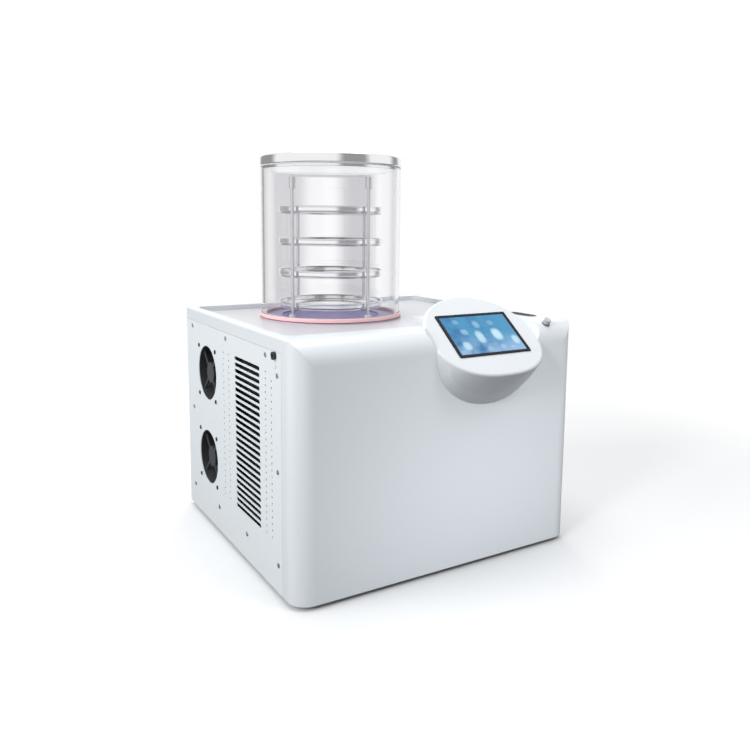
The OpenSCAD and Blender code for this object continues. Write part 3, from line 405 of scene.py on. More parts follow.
# metal with fine lines: brushed along one way, or turned round the chamber's axis
def linedFinish(name, look):
    material, tree, shader = startMaterial(name, {"Metallic": 1.0} | look["fixed"])
    values = {"Color": look["colour"], "Contrast": look["contrast"],
              "Roughness": look["roughness"], "Roughness Drift": look["glossDrift"]}
    if "stretch" in look:
        lines = useGroup(tree, brushLines, values | {"Stretch": look["stretch"]})
    else:
        lines = useGroup(tree, turnedLines, values | {
            "Middle": axisPoint, "Line Scale": look["lineScale"]})
    normal = giveAgedSkin(tree, shader, lines, look)
    addBump(tree, shader, lines["Height"], look["lineDepth"], normal)
    return material


# hot dipped sheet
def zincFinish(name, look):
    material, tree, shader = startMaterial(name, {"Metallic": 1.0})
    zinc = useGroup(tree, zincSpangle, {
        "Color": look["colour"], "Scale": look["flakeScale"], "Contrast": look["contrast"],
        "Roughness": look["roughness"]})
    addGrain(tree, shader, look, giveAgedSkin(tree, shader, zinc, look))
    return material


# cast clear wall, which lets the light of the room pass
def clearFinish(name, look):
    material, tree, shader = startMaterial(name, {
        "Metallic": 0.0, "Transmission Weight": 1.0, "IOR": look["bend"],
        "Specular IOR Level": 0.5})
    giveSkin(tree, shader, driftSkin(tree, look["colour"], look))
    through = addNode(tree, "ShaderNodeBsdfTransparent", {"Color": look["shadowTint"]})
    ray = addNode(tree, "ShaderNodeLightPath")
    mixed = addNode(tree, "ShaderNodeMixShader", {
        0: ray.outputs["Is Shadow Ray"], 1: shader.outputs[0], 2: through.outputs[0]})
    feed(tree, tree.nodes["Material Output"], {"Surface": mixed.outputs[0]})
    return material


# the chamber's axis, from its wall
chamberLow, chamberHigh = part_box("chamber_cylinder")
axisX = (chamberLow.x + chamberHigh.x) / 2
axisY = (chamberLow.y + chamberHigh.y) / 2
axisPoint = (axisX, axisY, 0.0)
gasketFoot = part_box("base_gasket")[0].z
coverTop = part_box("outer_cover")[1].z

# what most coats share
plainCoat = {"drift": 0.15, "driftScale": 6.0, "glossDrift": 0.08, "edge": 0.0006, "wear": 0.3,
             "dust": 0.05, "grainScale": 900.0, "grainDepth": 0.00003, "fixed": {}}
coatedLooks = {
    "cover_white": {
        "colour": (0.80, 0.835, 0.865, 1), "worn": (0.9, 0.92, 0.94, 1), "drift": 0.012,
        "driftScale": 3.0, "roughness": 0.34, "glossDrift": 0.05, "edge": 0.0012, "wear": 0.15,
        "dust": 0.02, "grainDepth": 0.00002,
        "fixed": {"Coat Weight": 0.25, "Coat Roughness": 0.2},
        # painted shade: the sunk deck is painted a shade greyer than the rim round it, standing in
        # for the shade in its recess
        "sunkDeckShade": (0.69, 0.70, 0.735, 1), "panTop": coverTop - 5 * mm, "panFade": 1.5 * mm,
        "panFlat": (0.75, 0.98)},
    "sheet_white": {
        "colour": (0.81, 0.85, 0.875, 1), "worn": (0.9, 0.92, 0.93, 1), "drift": 0.012,
        "driftScale": 4.0, "roughness": 0.48, "glossDrift": 0.06, "dust": 0.03,
        "grainScale": 1500.0, "grainDepth": 0.00006},
    "black_rubber": {
        "colour": (0.03, 0.03, 0.032, 1), "worn": (0.1, 0.1, 0.1, 1), "drift": 0.2,
        "roughness": 0.75, "edge": 0.0008, "wear": 0.5, "dust": 0.3, "grainScale": 700.0,
        "grainDepth": 0.00008},
    "fan_black": {
        "colour": (0.045, 0.05, 0.054, 1), "worn": (0.14, 0.145, 0.15, 1), "roughness": 0.4,
        "edge": 0.0008, "dust": 0.1, "grainScale": 1200.0, "grainDepth": 0.00005},
    "fan_blade": {
        "colour": (0.17, 0.19, 0.2, 1), "worn": (0.28, 0.29, 0.3, 1), "roughness": 0.26,
        "edge": 0.0005, "wear": 0.2, "dust": 0.2, "grainScale": 1000.0},
    "black_screw": {
        "colour": (0.05, 0.05, 0.052, 1), "worn": (0.3, 0.3, 0.3, 1), "drift": 0.1,
        "roughness": 0.4, "edge": 0.0003, "wear": 0.5, "grainScale": 2000.0,
        "grainDepth": 0.00002, "fixed": {"Metallic": 0.7}},
    "collar_blue": {
        "colour": (0.24, 0.215, 0.50, 1), "worn": (0.38, 0.36, 0.62, 1), "drift": 0.06,
        "roughness": 0.3, "edge": 0.0008, "wear": 0.2},
    "foam": {
        "colour": (0.72, 0.66, 0.42, 1), "worn": (0.8, 0.76, 0.55, 1), "drift": 0.12,
        "driftScale": 14.0, "roughness": 0.9, "edge": 0.002, "dust": 0.1, "grainScale": 260.0,
        "grainDepth": 0.0006},
    "gasket_red": {
        "colour": (0.88, 0.60, 0.61, 1), "worn": (0.9, 0.7, 0.72, 1), "drift": 0.05,
        "roughness": 0.42, "wear": 0.2, "grainScale": 700.0, "grainDepth": 0.00004,
        # painted shade: the gasket turns deep red at its foot, where it meets the deck
        "footFrom": gasketFoot + 1.2 * mm, "footTo": gasketFoot + 2.6 * mm,
        "footShadeColour": (0.26, 0.03, 0.05, 1),
        "fixed": {"Subsurface Weight": 0.4, "Subsurface Scale": 0.004,
                  "Subsurface Radius": (1.0, 0.35, 0.35)}},
    "seal_grey": {
        "colour": (0.72, 0.73, 0.74, 1), "worn": (0.8, 0.8, 0.8, 1), "drift": 0.04,
        "roughness": 0.5, "edge": 0.0004, "wear": 0.1, "grainScale": 800.0,
        "grainDepth": 0.00004},
    "foot_white": {
        "colour": (0.86, 0.86, 0.87, 1), "worn": (0.9, 0.9, 0.9, 1), "drift": 0.02,
        "roughness": 0.4, "wear": 0.2},
    "screen_black": {
        "colour": (0.008, 0.009, 0.012, 1), "worn": (0.04, 0.04, 0.05, 1), "drift": 0.1,
        "roughness": 0.5, "edge": 0.0005, "wear": 0.15, "dust": 0.01, "grainScale": 1500.0,
        "grainDepth": 0.00001, "fixed": {"Specular IOR Level": 0.2}},
    "compressor_black": {
        "colour": (0.02, 0.02, 0.021, 1), "worn": (0.12, 0.12, 0.12, 1), "roughness": 0.35,
        "edge": 0.002, "wear": 0.4, "dust": 0.3, "grainScale": 500.0, "grainDepth": 0.0001},
    "condenser_dark": {
        "colour": (0.03, 0.032, 0.035, 1), "worn": (0.15, 0.15, 0.16, 1), "drift": 0.2,
        "roughness": 0.5, "edge": 0.0004, "wear": 0.4, "dust": 0.1, "grainDepth": 0.00004,
        "fixed": {"Specular IOR Level": 0.2}},
    "lever_red": {
        "colour": (0.5, 0.035, 0.025, 1), "worn": (0.6, 0.2, 0.18, 1), "drift": 0.05,
        "roughness": 0.35},
    "valve_dark": {
        "colour": (0.10, 0.105, 0.11, 1), "worn": (0.25, 0.25, 0.26, 1), "drift": 0.08,
        "roughness": 0.4, "grainDepth": 0.00004},
    "knob_grey": {
        "colour": (0.52, 0.53, 0.54, 1), "worn": (0.7, 0.7, 0.71, 1), "drift": 0.05,
        "roughness": 0.38, "edge": 0.0004, "wear": 0.35, "grainScale": 1400.0},
    "port_black": {
        "colour": (0.018, 0.018, 0.02, 1), "worn": (0.08, 0.08, 0.08, 1), "drift": 0.1,
        "roughness": 0.42, "edge": 0.0005, "grainScale": 1300.0, "grainDepth": 0.00005},
}

# stretch: the lines run across its largest number
plainBrushed = {"contrast": 0.1, "glossDrift": 0.12, "edge": 0.0005, "wear": 0.3, "dust": 0.04,
                "lineDepth": 0.00002, "fixed": {}}
brushedLooks = {
    "screw_steel": {
        "colour": (0.52, 0.53, 0.54, 1), "worn": (0.75, 0.75, 0.76, 1), "contrast": 0.15,
        "stretch": (300.0, 300.0, 300.0), "roughness": 0.34, "edge": 0.0003, "wear": 0.4},
    "stainless": {
        "colour": (0.66, 0.66, 0.68, 1), "worn": (0.8, 0.8, 0.8, 1), "contrast": 0.08,
        "stretch": (40.0, 40.0, 900.0), "roughness": 0.22, "edge": 0.0006},
    # painted light: pale lilac steel, standing in for the blue reflections and brightness in the
    # deep well
    "well_steel_painted_light": {
        "colour": (0.80, 0.77, 0.96, 1), "worn": (0.84, 0.82, 0.97, 1), "contrast": 0.05,
        "stretch": (40.0, 40.0, 900.0), "roughness": 0.4, "edge": 0.0006,
        "fixed": {"Metallic": 0.2}},
    "copper": {
        "colour": (0.72, 0.38, 0.24, 1), "worn": (0.85, 0.55, 0.4, 1), "contrast": 0.2,
        "stretch": (60.0, 60.0, 60.0), "roughness": 0.32, "glossDrift": 0.3,
        "lineDepth": 0.00003},
    "drier_copper": {
        "colour": (0.7, 0.42, 0.25, 1), "worn": (0.8, 0.55, 0.4, 1), "contrast": 0.2,
        "stretch": (400.0, 60.0, 60.0), "roughness": 0.35, "glossDrift": 0.3, "edge": 0.001,
        "lineDepth": 0.00003},
    "brass": {
        "colour": (0.78, 0.6, 0.28, 1), "worn": (0.9, 0.78, 0.5, 1),
        "stretch": (700.0, 80.0, 80.0), "roughness": 0.28, "edge": 0.0003},
    "pin_metal": {
        "colour": (0.72, 0.68, 0.52, 1), "worn": (0.85, 0.82, 0.7, 1),
        "stretch": (90.0, 800.0, 90.0), "roughness": 0.25, "edge": 0.0004, "lineDepth": 0.00001},
}

plainTurned = {"glossDrift": 0.08, "wear": 0.2, "fixed": {}}
turnedLooks = {
    "lid_chrome": {
        "colour": (0.86, 0.87, 0.88, 1), "worn": (0.93, 0.93, 0.94, 1), "lineScale": 900.0,
        "contrast": 0.05, "roughness": 0.10, "edge": 0.0005, "lineDepth": 0.000006},
    "tray_steel": {
        "colour": (0.93, 0.93, 0.94, 1), "worn": (0.95, 0.95, 0.96, 1), "lineScale": 1100.0,
        "contrast": 0.06, "roughness": 0.09, "edge": 0.0004, "lineDepth": 0.000004},
}

zincLooks = {
    "galvanised": {
        "colour": (0.55, 0.565, 0.58, 1), "worn": (0.7, 0.7, 0.71, 1), "flakeScale": 110.0,
        "contrast": 0.25, "roughness": 0.42, "edge": 0.0005, "wear": 0.3, "dust": 0.2,
        "grainScale": 500.0, "grainDepth": 0.00002},
}

clearLooks = {
    "clear_acrylic": {
        "colour": (0.985, 0.985, 0.995, 1), "roughness": 0.015, "bend": 1.49, "drift": 0.01,
        "driftScale": 5.0, "glossDrift": 0.01, "shadowTint": (0.95, 0.95, 0.96, 1)},
}

# printed board: resist over copper tracks, with a grid of pads
boardLook = {
    "mask": (0.012, 0.11, 0.045, 1), "track": (0.03, 0.2, 0.09, 1), "pad": (0.72, 0.62, 0.35, 1),
    "trackScale": 60.0, "trackWidth": 0.03, "padScale": 260.0, "padSize": 0.12,
    "drift": 0.1, "driftScale": 30.0, "roughness": 0.35, "glossDrift": 0.1,
    "grainScale": 900.0, "grainDepth": 0.00003,
}


def boardFinish(name, look):
    material, tree, shader = startMaterial(name, {"Coat Weight": 0.4, "Coat Roughness": 0.15})
    place = objectPlace(tree)
    bricks = addNode(tree, "ShaderNodeTexBrick", {
        "Vector": place, "Scale": look["trackScale"], "Color1": (1, 1, 1, 1),
        "Color2": (0.2, 0.2, 0.2, 1), "Mortar": (0, 0, 0, 1), "Mortar Size": look["trackWidth"]})
    tone = driftSkin(tree, look["mask"], look)
    tracks = blendColour(tree, bricks.outputs["Fac"], look["track"], tone["Color"])
    dots = addNode(tree, "ShaderNodeTexVoronoi", {
        "Vector": place, "Scale": look["padScale"], "Randomness": 0.0})
    pads = calc(tree, "LESS_THAN", dots.outputs["Distance"], look["padSize"])
    feed(tree, shader, {"Base Color": blendColour(tree, pads, tracks, look["pad"]),
                        "Roughness": tone["Roughness"]})
    addGrain(tree, shader, look)
    return material


# the lit display, a menu of plain tiles on a blue ground
displayLook = {
    "glass": (0.01, 0.012, 0.016, 1),
    "drift": 0.2, "driftScale": 20.0, "roughness": 0.1, "glossDrift": 0.08,
    "margin": 1.2 * mm,                    # dark frame round the lit field
    "top": (0.05, 0.31, 0.57, 1),
    "low": (0.31, 0.53, 0.79, 1),
    "deep": (0.014, 0.175, 0.43, 1),
    "tile": (0.60, 0.88, 1.0, 1),
    "glow": 0.92,
    "topFrom": 0.6,                        # up from the foot, where the top colour is whole
    "haze": (0.35, 0.7), "hazeScale": 30.0,
    "deepSide": (1.0, 0.3),                # the deep colour grows from right to left
    "rimSoft": (0.01, 0.015),
    "tileRound": 2.5, "tileReach": 2.6,    # power of the tiles' outline, and where they fade out
    # across from the left, up from the foot, half width, half height, strength
    "tiles": [
        (0.20, 0.86, 0.034, 0.03, 0.28), (0.24, 0.58, 0.045, 0.04, 0.42),
        (0.16, 0.22, 0.05, 0.055, 0.80), (0.48, 0.76, 0.04, 0.05, 0.38),
        (0.43, 0.42, 0.05, 0.085, 0.85), (0.47, 0.10, 0.035, 0.03, 0.25),
        (0.71, 0.78, 0.04, 0.035, 0.25), (0.70, 0.46, 0.06, 0.08, 1.0),
        (0.68, 0.14, 0.04, 0.03, 0.3), (0.93, 0.28, 0.045, 0.06, 0.85),
        (0.82, 0.10, 0.03, 0.02, 0.25)],
}


def displayFinish(name, look):
    # the glass leans back about the X axis; its field runs from its lower front edge
    low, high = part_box("screen_glass")
    lean = math.atan2(high.z - low.z, high.y - low.y)
    slope = Vector((0, math.cos(lean), math.sin(lean)))
    margin = look["margin"]
    wide = high.x - low.x - 2 * margin
    tall = (high.z - low.z) / math.sin(lean) - 2 * margin
    material, tree, shader = startMaterial(name, {
        "Specular IOR Level": 0.25, "Coat Weight": 0.15, "Coat Roughness": 0.05,
        "Emission Strength": look["glow"]})
    foot = Vector((low.x + margin, low.y, low.z)) + slope * margin
    place = vectorCalc(tree, "SUBTRACT", objectPlace(tree), foot)

    def along(direction, length):
        return vectorCalc(tree, "DOT_PRODUCT", place, direction / length, "Value")

    def inside(value, soft):
        rise = easeBetween(tree, value, 0.0, soft)
        fall = easeBetween(tree, calc(tree, "SUBTRACT", 1.0, value), 0.0, soft)
        return calc(tree, "MULTIPLY", rise, fall)

    def offset(value, centre, half):
        gap = calc(tree, "ABSOLUTE", calc(tree, "SUBTRACT", value, centre))
        return calc(tree, "POWER", calc(tree, "MULTIPLY", gap, 1 / half), look["tileRound"])

    across = along(Vector((1, 0, 0)), wide)
    up = along(slope, tall)
    softX, softY = look["rimSoft"]
    field = calc(tree, "MULTIPLY", inside(across, softX), inside(up, softY))
    rising = easeBetween(tree, up, 0.0, look["topFrom"])
    ground = blendColour(tree, rising, look["low"], look["top"])
    haze = easeBetween(tree, noise(tree, place, look["hazeScale"], 3.0, 0.55), *look["haze"])
    depth = calc(tree, "MULTIPLY", haze, easeBetween(tree, across, *look["deepSide"]))
    ground = blendColour(tree, depth, ground, look["deep"])
    lit = None
    for x, y, halfWide, halfTall, strength in look["tiles"]:
        # a squircle, so that each tile has round corners and a soft rim
        far = calc(tree, "ADD", offset(across, x, halfWide), offset(up, y, halfTall * wide / tall))
        spot = calc(tree, "MULTIPLY", easeBetween(tree, far, look["tileReach"], 0.0), strength)
        lit = spot if lit is None else calc(tree, "MAXIMUM", lit, spot)
    picture = blendColour(tree, lit, ground, look["tile"])
    feed(tree, shader, {"Emission Color": blendColour(tree, field, (0, 0, 0, 1), picture)})
    giveSkin(tree, shader, driftSkin(tree, look["glass"], look))
    return material


finishes = {}
for makeFinish, shared, looks in (
        (coatedFinish, plainCoat, coatedLooks), (linedFinish, plainBrushed, brushedLooks),
        (linedFinish, plainTurned, turnedLooks), (zincFinish, {}, zincLooks),
        (clearFinish, {}, clearLooks)):
    for slotName, look in looks.items():
        finishes[slotName] = makeFinish(slotName, shared | look)
finishes["board_green"] = boardFinish("board_green", boardLook)
finishes["display"] = displayFinish("display", displayLook)

ownFinish = {"cold_trap": "well_steel_painted_light"}    # its steel is painted pale lilac, painted light for the blue reflections and brightness in the deep well; the rest of its slot has none
for nodeName, cadObject in cadNodes.items():
    cadObject.data.materials.clear()
    cadObject.data.materials.append(finishes[ownFinish.get(nodeName, slotOf[nodeName])])
print("finishes given to", len(cadNodes), "nodes")


sameSpot = 1e-6    # metres, points nearer than this are one
tiny = 1e-7


# corners are (across, up, radius) round a closed outline; gives its points, corners rounded
def roundedOutline(corners, steps=5):
    points = []
    for index, (x, y, radius) in enumerate(corners):
        here = Vector((x, y))
        if radius <= 0:
            points.append((x, y))
            continue
        before = (Vector(corners[index - 1][:2]) - here).normalized()
        after = (Vector(corners[(index + 1) % len(corners)][:2]) - here).normalized()
        half = before.angle(after) / 2
        middle = here + (before + after).normalized() * (radius / math.sin(half))
        start = here + before * (radius / math.tan(half)) - middle
        end = here + after * (radius / math.tan(half)) - middle
        turn = start.angle_signed(end)
        for step in range(steps + 1):
            share = turn * step / steps
            spot = middle + Vector((start.x * math.cos(share) + start.y * math.sin(share),
                                    start.y * math.cos(share) - start.x * math.sin(share)))
            points.append((spot.x, spot.y))
    return points


# turns a closed outline of (radius, height) points round Z
def turnedMesh(name, outline, segments=96, sharp=35):
    shape = bmesh.new()
    rings = []
    for index in range(segments):
        angle = 2 * math.pi * index / segments
        rings.append([shape.verts.new((radius * math.cos(angle), radius * math.sin(angle), height))
                      for radius, height in outline])
    for index in range(segments):
        this, following = rings[index], rings[(index + 1) % segments]
        for spot in range(len(outline)):
            other = (spot + 1) % len(outline)
            if outline[spot][0] > tiny or outline[other][0] > tiny:
                shape.faces.new((this[spot], following[spot], following[other], this[other]))
    bmesh.ops.remove_doubles(shape, verts=shape.verts, dist=sameSpot)
    bmesh.ops.dissolve_degenerate(shape, edges=shape.edges, dist=tiny)
    bmesh.ops.recalc_face_normals(shape, faces=shape.faces)
    return meshFrom(shape, name, sharp)


def meshFrom(shape, name, angle=35):
    mesh = bpy.data.meshes.new(name)
    shape.to_mesh(mesh)
    shape.free()
    mesh.polygons.foreach_set("use_smooth", [True] * len(mesh.polygons))
    mesh.set_sharp_from_angle(angle=math.radians(angle))
    return mesh


# a new piece in place of a CAD node, on that node's body and in that node's finish
def standFor(node, mesh, place=Matrix.Identity(4)):
    mesh.transform(place)
    piece = addObject(node.replace("_", "-"), mesh)
    mesh.materials.clear()
    mesh.materials.append(finishes[slotOf[node]])
    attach(piece, bodyOf[node])
    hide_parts(node)
    return piece


# boxes of the loose solids in one node
def looseBoxes(node):
    shape = bmesh.new()
    shape.from_mesh(cadNodes[node].data)
    bmesh.ops.remove_doubles(shape, verts=shape.verts, dist=sameSpot)
    left = set(shape.verts)
    boxes = []
    while left:
        queue = [left.pop()]
        group = []
        while queue:
            vert = queue.pop()
            group.append(vert.co.copy())
            for edge in vert.link_edges:
                other = edge.other_vert(vert)
                if other in left:
                    left.remove(other)
                    queue.append(other)
        boxes.append((Vector([min(p[i] for p in group) for i in range(3)]),
                      Vector([max(p[i] for p in group) for i in range(3)])))
    shape.free()
    return sorted(boxes, key=lambda box: tuple(round(v, 4) for v in box[0]))


# inner and outer radius of a node turned about the chamber's axis
def radiiOf(node):
    found = [math.hypot(v.co.x - axisX, v.co.y - axisY) for v in cadNodes[node].data.vertices]
    return min(found), max(found)


# where a piece that is turned about the chamber's axis stands
def onChamber(foot):
    return Matrix.Translation((axisX, axisY, foot))


# screws: domed heads with a cross recess
screwLook = {
    "head": 2 * mm, "dome": 0.55, "domeSteps": 8, "segments": 28, "shank": 2.0 * mm,
    "crossWidth": 1.1 * mm, "crossReach": 2.6 * mm, "crossDepth": 1.1 * mm,
    "barLift": 0.01 * mm,                  # keeps the cross's two bars out of one plane
    "turnEach": 1.3,                       # radians from one screw to the next
    "sharp": 30,
}


def screwTemplate(headRadius, shankLength, look):
    head = look["head"]
    rim = head * (1 - look["dome"])
    outline = [(0, head)]
    for step in range(1, look["domeSteps"] + 1):
        share = step / look["domeSteps"] * math.pi / 2
        outline.append((headRadius * math.sin(share), rim + (head - rim) * math.cos(share)))
    outline += [(headRadius, 0), (look["shank"], 0), (look["shank"], -shankLength),
                (0, -shankLength)]
    body = addObject("screwBody", turnedMesh("screwBody", outline, look["segments"]))
    cutter = bmesh.new()
    size = (2 * look["crossReach"], look["crossWidth"], 2 * look["crossDepth"])
    for turn in (0, math.pi / 2):
        bar = bmesh.ops.create_cube(cutter, size=1.0)["verts"]
        bmesh.ops.scale(cutter, verts=bar, vec=size)
        bmesh.ops.rotate(cutter, verts=bar, matrix=Matrix.Rotation(turn, 3, "Z"))
        bmesh.ops.translate(cutter, verts=bar, vec=(0, 0, head + look["barLift"] * turn))
    cross = addObject("screwCross", meshFrom(cutter, "screwCross"))
    cut = body.modifiers.new("cut", "BOOLEAN")
    cut.operation = "DIFFERENCE"
    cut.solver = "EXACT"
    cut.use_self = True
    cut.object = cross
    bpy.context.view_layer.update()
    carved = body.evaluated_get(bpy.context.evaluated_depsgraph_get())
    mesh = bpy.data.meshes.new_from_object(carved)
    bpy.data.objects.remove(body)
    bpy.data.objects.remove(cross)
    return mesh


def makeScrews(node, outward, look):
    shape = bmesh.new()
    template = None
    for index, (low, high) in enumerate(looseBoxes(node)):
        size = high - low
        middle = (low + high) / 2
        way = Vector(outward(middle))
        axis = max(range(3), key=lambda i: abs(way[i]))
        if template is None:
            wide = max(size[i] for i in range(3) if i != axis)
            template = screwTemplate(wide / 2, size[axis] - look["head"], look)
        tip = middle.copy()
        tip[axis] = high[axis] if way[axis] > 0 else low[axis]
        copy = template.copy()
        copy.transform(Matrix.Translation(tip - way * look["head"])
                       @ way.to_track_quat("Z", "Y").to_matrix().to_4x4()
                       @ Matrix.Rotation(index * look["turnEach"], 4, "Z"))
        shape.from_mesh(copy)
        bpy.data.meshes.remove(copy)
    bpy.data.meshes.remove(template)
    return standFor(node, meshFrom(shape, node, look["sharp"]))


makeScrews("side_screws", lambda at: (math.copysign(1, at.x), 0, 0), screwLook)
makeScrews("rear_screws", lambda at: (0, 1, 0), screwLook)
makeScrews("fan_screws", lambda at: (-1, 0, 0), screwLook)
print("screws made")


# fans: seven swept blades on a domed hub
fanLook = {
    "blades": 7, "hubShare": 0.385,        # hub against the whole radius
    "depthShare": 0.6,                     # the hub's depth; the shaft takes the rest
    "root": 0.97,                          # the blades start a little inside the hub
    "sweep": 26, "sweepCurve": 1.4,        # degrees over the whole blade, and how late they come
    "chord": 46, "rootChord": 0.86,        # degrees at the tip, and the root's share of them
    "camber": 3.5 * mm, "thick": 1.3 * mm, "edgeThick": 0.3, "edgeRound": 0.04,
    "lead": 0.08, "run": 0.84,             # where across the depth a blade starts, how far it runs
    "steps": 14, "along": 9, "edgeGap": 0.4 * mm, "sharp": 40,
    # the hub's dome: its flat top's share of the radius, how far it falls, and its two roundings
    "hubTop": 0.82, "hubFall": 5 * mm, "hubTopRound": 2.5 * mm, "hubSideRound": 4 * mm,
    "hubWall": 1.6 * mm, "hubWeb": 6 * mm, "hubWebRound": 1 * mm, "hubFootRound": 0.5 * mm,
    "hubInnerRound": 0.3 * mm, "shaft": 3 * mm, "shaftRound": 0.4 * mm, "hubSegments": 64,
}


def bladeSheet(shape, turn, side, hub, reach, depth, front, middle, look):
    root = hub * look["root"]
    sheet = []
    for step in range(look["steps"] + 1):
        share = step / look["steps"]
        radius = root + (reach - look["edgeGap"] - root) * share
        lean = math.radians(look["sweep"]) * share ** look["sweepCurve"]
        spread = (math.radians(look["chord"])
                  * (look["rootChord"] + (1 - look["rootChord"]) * share))
        row = []
        for mark in range(look["along"] + 1):
            part = mark / look["along"]
            angle = turn + lean + spread * (part - 0.5)
            bow = look["camber"] * math.sin(math.pi * part)
            swell = math.sin(math.pi * min(max(part, look["edgeRound"]), 1 - look["edgeRound"]))
            thin = look["thick"] * (look["edgeThick"] + (1 - look["edgeThick"]) * swell)
            x = front + depth * (look["lead"] + look["run"] * part) + bow + side * thin / 2
            row.append(shape.verts.new((x, middle.y + radius * math.sin(angle),
                                        middle.z + radius * math.cos(angle))))
        sheet.append(row)
    return sheet


def makeRotor(node, look):
    low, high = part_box(node)
    middle = (low + high) / 2
    reach = (high.z - low.z) / 2
    hub = reach * look["hubShare"]
    depth = (high.x - low.x) * look["depthShare"]
    front = high.x - depth
    steps, along = look["steps"], look["along"]
    rim = ([(s, 0) for s in range(steps)] + [(steps, m) for m in range(along)]
           + [(s, along) for s in range(steps, 0, -1)] + [(0, m) for m in range(along, 0, -1)])
    shape = bmesh.new()
    for blade in range(look["blades"]):
        turn = 2 * math.pi * blade / look["blades"]
        sheets = [bladeSheet(shape, turn, side, hub, reach, depth, front, middle, look)
                  for side in (-1, 1)]
        for sheet in sheets:
            for step in range(steps):
                for mark in range(along):
                    shape.faces.new((sheet[step][mark], sheet[step + 1][mark],
                                     sheet[step + 1][mark + 1], sheet[step][mark + 1]))
        near, far = sheets
        for index, (s, m) in enumerate(rim):
            s2, m2 = rim[(index + 1) % len(rim)]
            shape.faces.new((near[s][m], near[s2][m2], far[s2][m2], far[s][m]))
    inner, web, shaft = hub - look["hubWall"], look["hubWeb"], look["shaft"]
    shaftEnd = low.x - front
    outline = roundedOutline([
        (0, depth, 0), (hub * look["hubTop"], depth, look["hubTopRound"]),
        (hub, depth - look["hubFall"], look["hubSideRound"]), (hub, 0, look["hubFootRound"]),
        (inner, 0, look["hubInnerRound"]), (inner, web, look["hubWebRound"]), (shaft, web, 0),
        (shaft, shaftEnd, look["shaftRound"]), (0, shaftEnd, 0)])
    cap = turnedMesh("cap", [(r, -h) for r, h in outline], look["hubSegments"])
    cap.transform(Matrix.Translation((front, middle.y, middle.z))
                  @ Matrix.Rotation(-math.pi / 2, 4, "Y"))
    shape.from_mesh(cap)
    bpy.data.meshes.remove(cap)
    bmesh.ops.recalc_face_normals(shape, faces=shape.faces)
    return standFor(node, meshFrom(shape, node, look["sharp"]))


for rotorName in ("fan_rotor_upper", "fan_rotor_lower"):
    makeRotor(rotorName, fanLook)
print("fans made")


# filter pad of open foam, clipped behind the rear vents
filterLook = {
    "middle": -200 * mm, "foot": 104 * mm, "wide": 136 * mm, "tall": 152 * mm, "thick": 3 * mm,
    "gap": 0.3 * mm, "corner": 6 * mm, "cornerSteps": 4,
    # deep: painted shade inside the foam's pores
    "colour": (0.03, 0.032, 0.034, 1), "deep": (0.006, 0.006, 0.007, 1),
    "cells": 900.0, "cellWall": (0.25, 0.6), "cellDepth": 0.0006,
    "drift": 0.1, "driftScale": 30.0, "roughness": 0.9, "glossDrift": 0.05,
}


def filterFoam(look):
    material, tree, shader = startMaterial("filterFoam", {"Specular IOR Level": 0.1})
    cells = addNode(tree, "ShaderNodeTexVoronoi", {
        "Vector": objectPlace(tree), "Scale": look["cells"]}).outputs["Distance"]
    # painted shade: the cells' middles take the deep colour, the shade inside the foam's pores
    wall = easeBetween(tree, cells, *look["cellWall"])
    tone = blendColour(tree, wall, look["deep"], look["colour"])
    giveSkin(tree, shader, driftSkin(tree, tone, look))
    addBump(tree, shader, cells, look["cellDepth"])
    return material


def makeFilterPad(look):
    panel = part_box("rear_panel")[0]
    half, tall, corner = look["wide"] / 2, look["tall"], look["corner"]
    outline = roundedOutline([(-half, 0, corner), (half, 0, corner), (half, tall, corner),
                              (-half, tall, corner)], look["cornerSteps"])
    near = panel.y - look["gap"]
    shape = bmesh.new()
    rings = [[shape.verts.new((look["middle"] + x, y, panel.z + look["foot"] + z))
              for x, z in outline] for y in (near, near - look["thick"])]
    for ring in rings:
        shape.faces.new(ring)
    for index in range(len(outline)):
        other = (index + 1) % len(outline)
        shape.faces.new((rings[0][index], rings[0][other], rings[1][other], rings[1][index]))
    bmesh.ops.recalc_face_normals(shape, faces=shape.faces)
    pad = addObject("filter-pad", meshFrom(shape, "filter-pad"))
    pad.data.materials.append(filterFoam(look))
    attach(pad, "cabinet")


makeFilterPad(filterLook)
print("filter pad made")


# trays: pressed dishes with a rolled rim
trayLook = {"wall": 1.0 * mm, "corner": 3.0 * mm, "roll": 1.6 * mm,
            "rollTurns": (-60, 181, 20),   # degrees: first, end, step
            "setIn": 0.6,                  # the wall stands this share of the roll inside the rim
            "segments": 128}


def makeTray(node, look):
    low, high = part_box(node)
    outer = (high.x - low.x) / 2
    tall = high.z - low.z
    wall, roll, corner = look["wall"], look["roll"], look["corner"]
    body = outer - roll * look["setIn"]
    shoulder = tall - 2 * roll
    outline = roundedOutline([(0, 0, 0), (body, 0, corner), (body, shoulder, 0)])
    for turn in range(*look["rollTurns"]):
        angle = math.radians(turn)
        outline.append((outer - roll + roll * math.cos(angle),
                        tall - roll + roll * math.sin(angle)))
    outline += roundedOutline([(body - wall, shoulder, 0), (body - wall, wall, corner - wall),
                               (0, wall, 0)])
    place = Matrix.Translation(((low.x + high.x) / 2, (low.y + high.y) / 2, low.z))
    return standFor(node, turnedMesh(node, outline, look["segments"]), place)


for trayName in ("tray_1", "tray_2", "tray_3", "tray_4"):
    makeTray(trayName, trayLook)
print("trays made")


# lid: a thick turned plate with rounded rims and a shallow dish
lidLook = {"rim": 3.0 * mm, "dish": 1.2 * mm, "dishSlope": 1.5 * mm, "band": 16 * mm,
           "edge": 0.6 * mm, "spigotEdge": 0.8 * mm, "spigotPlay": 1 * mm, "cornerSteps": 6,
           "segments": 160}


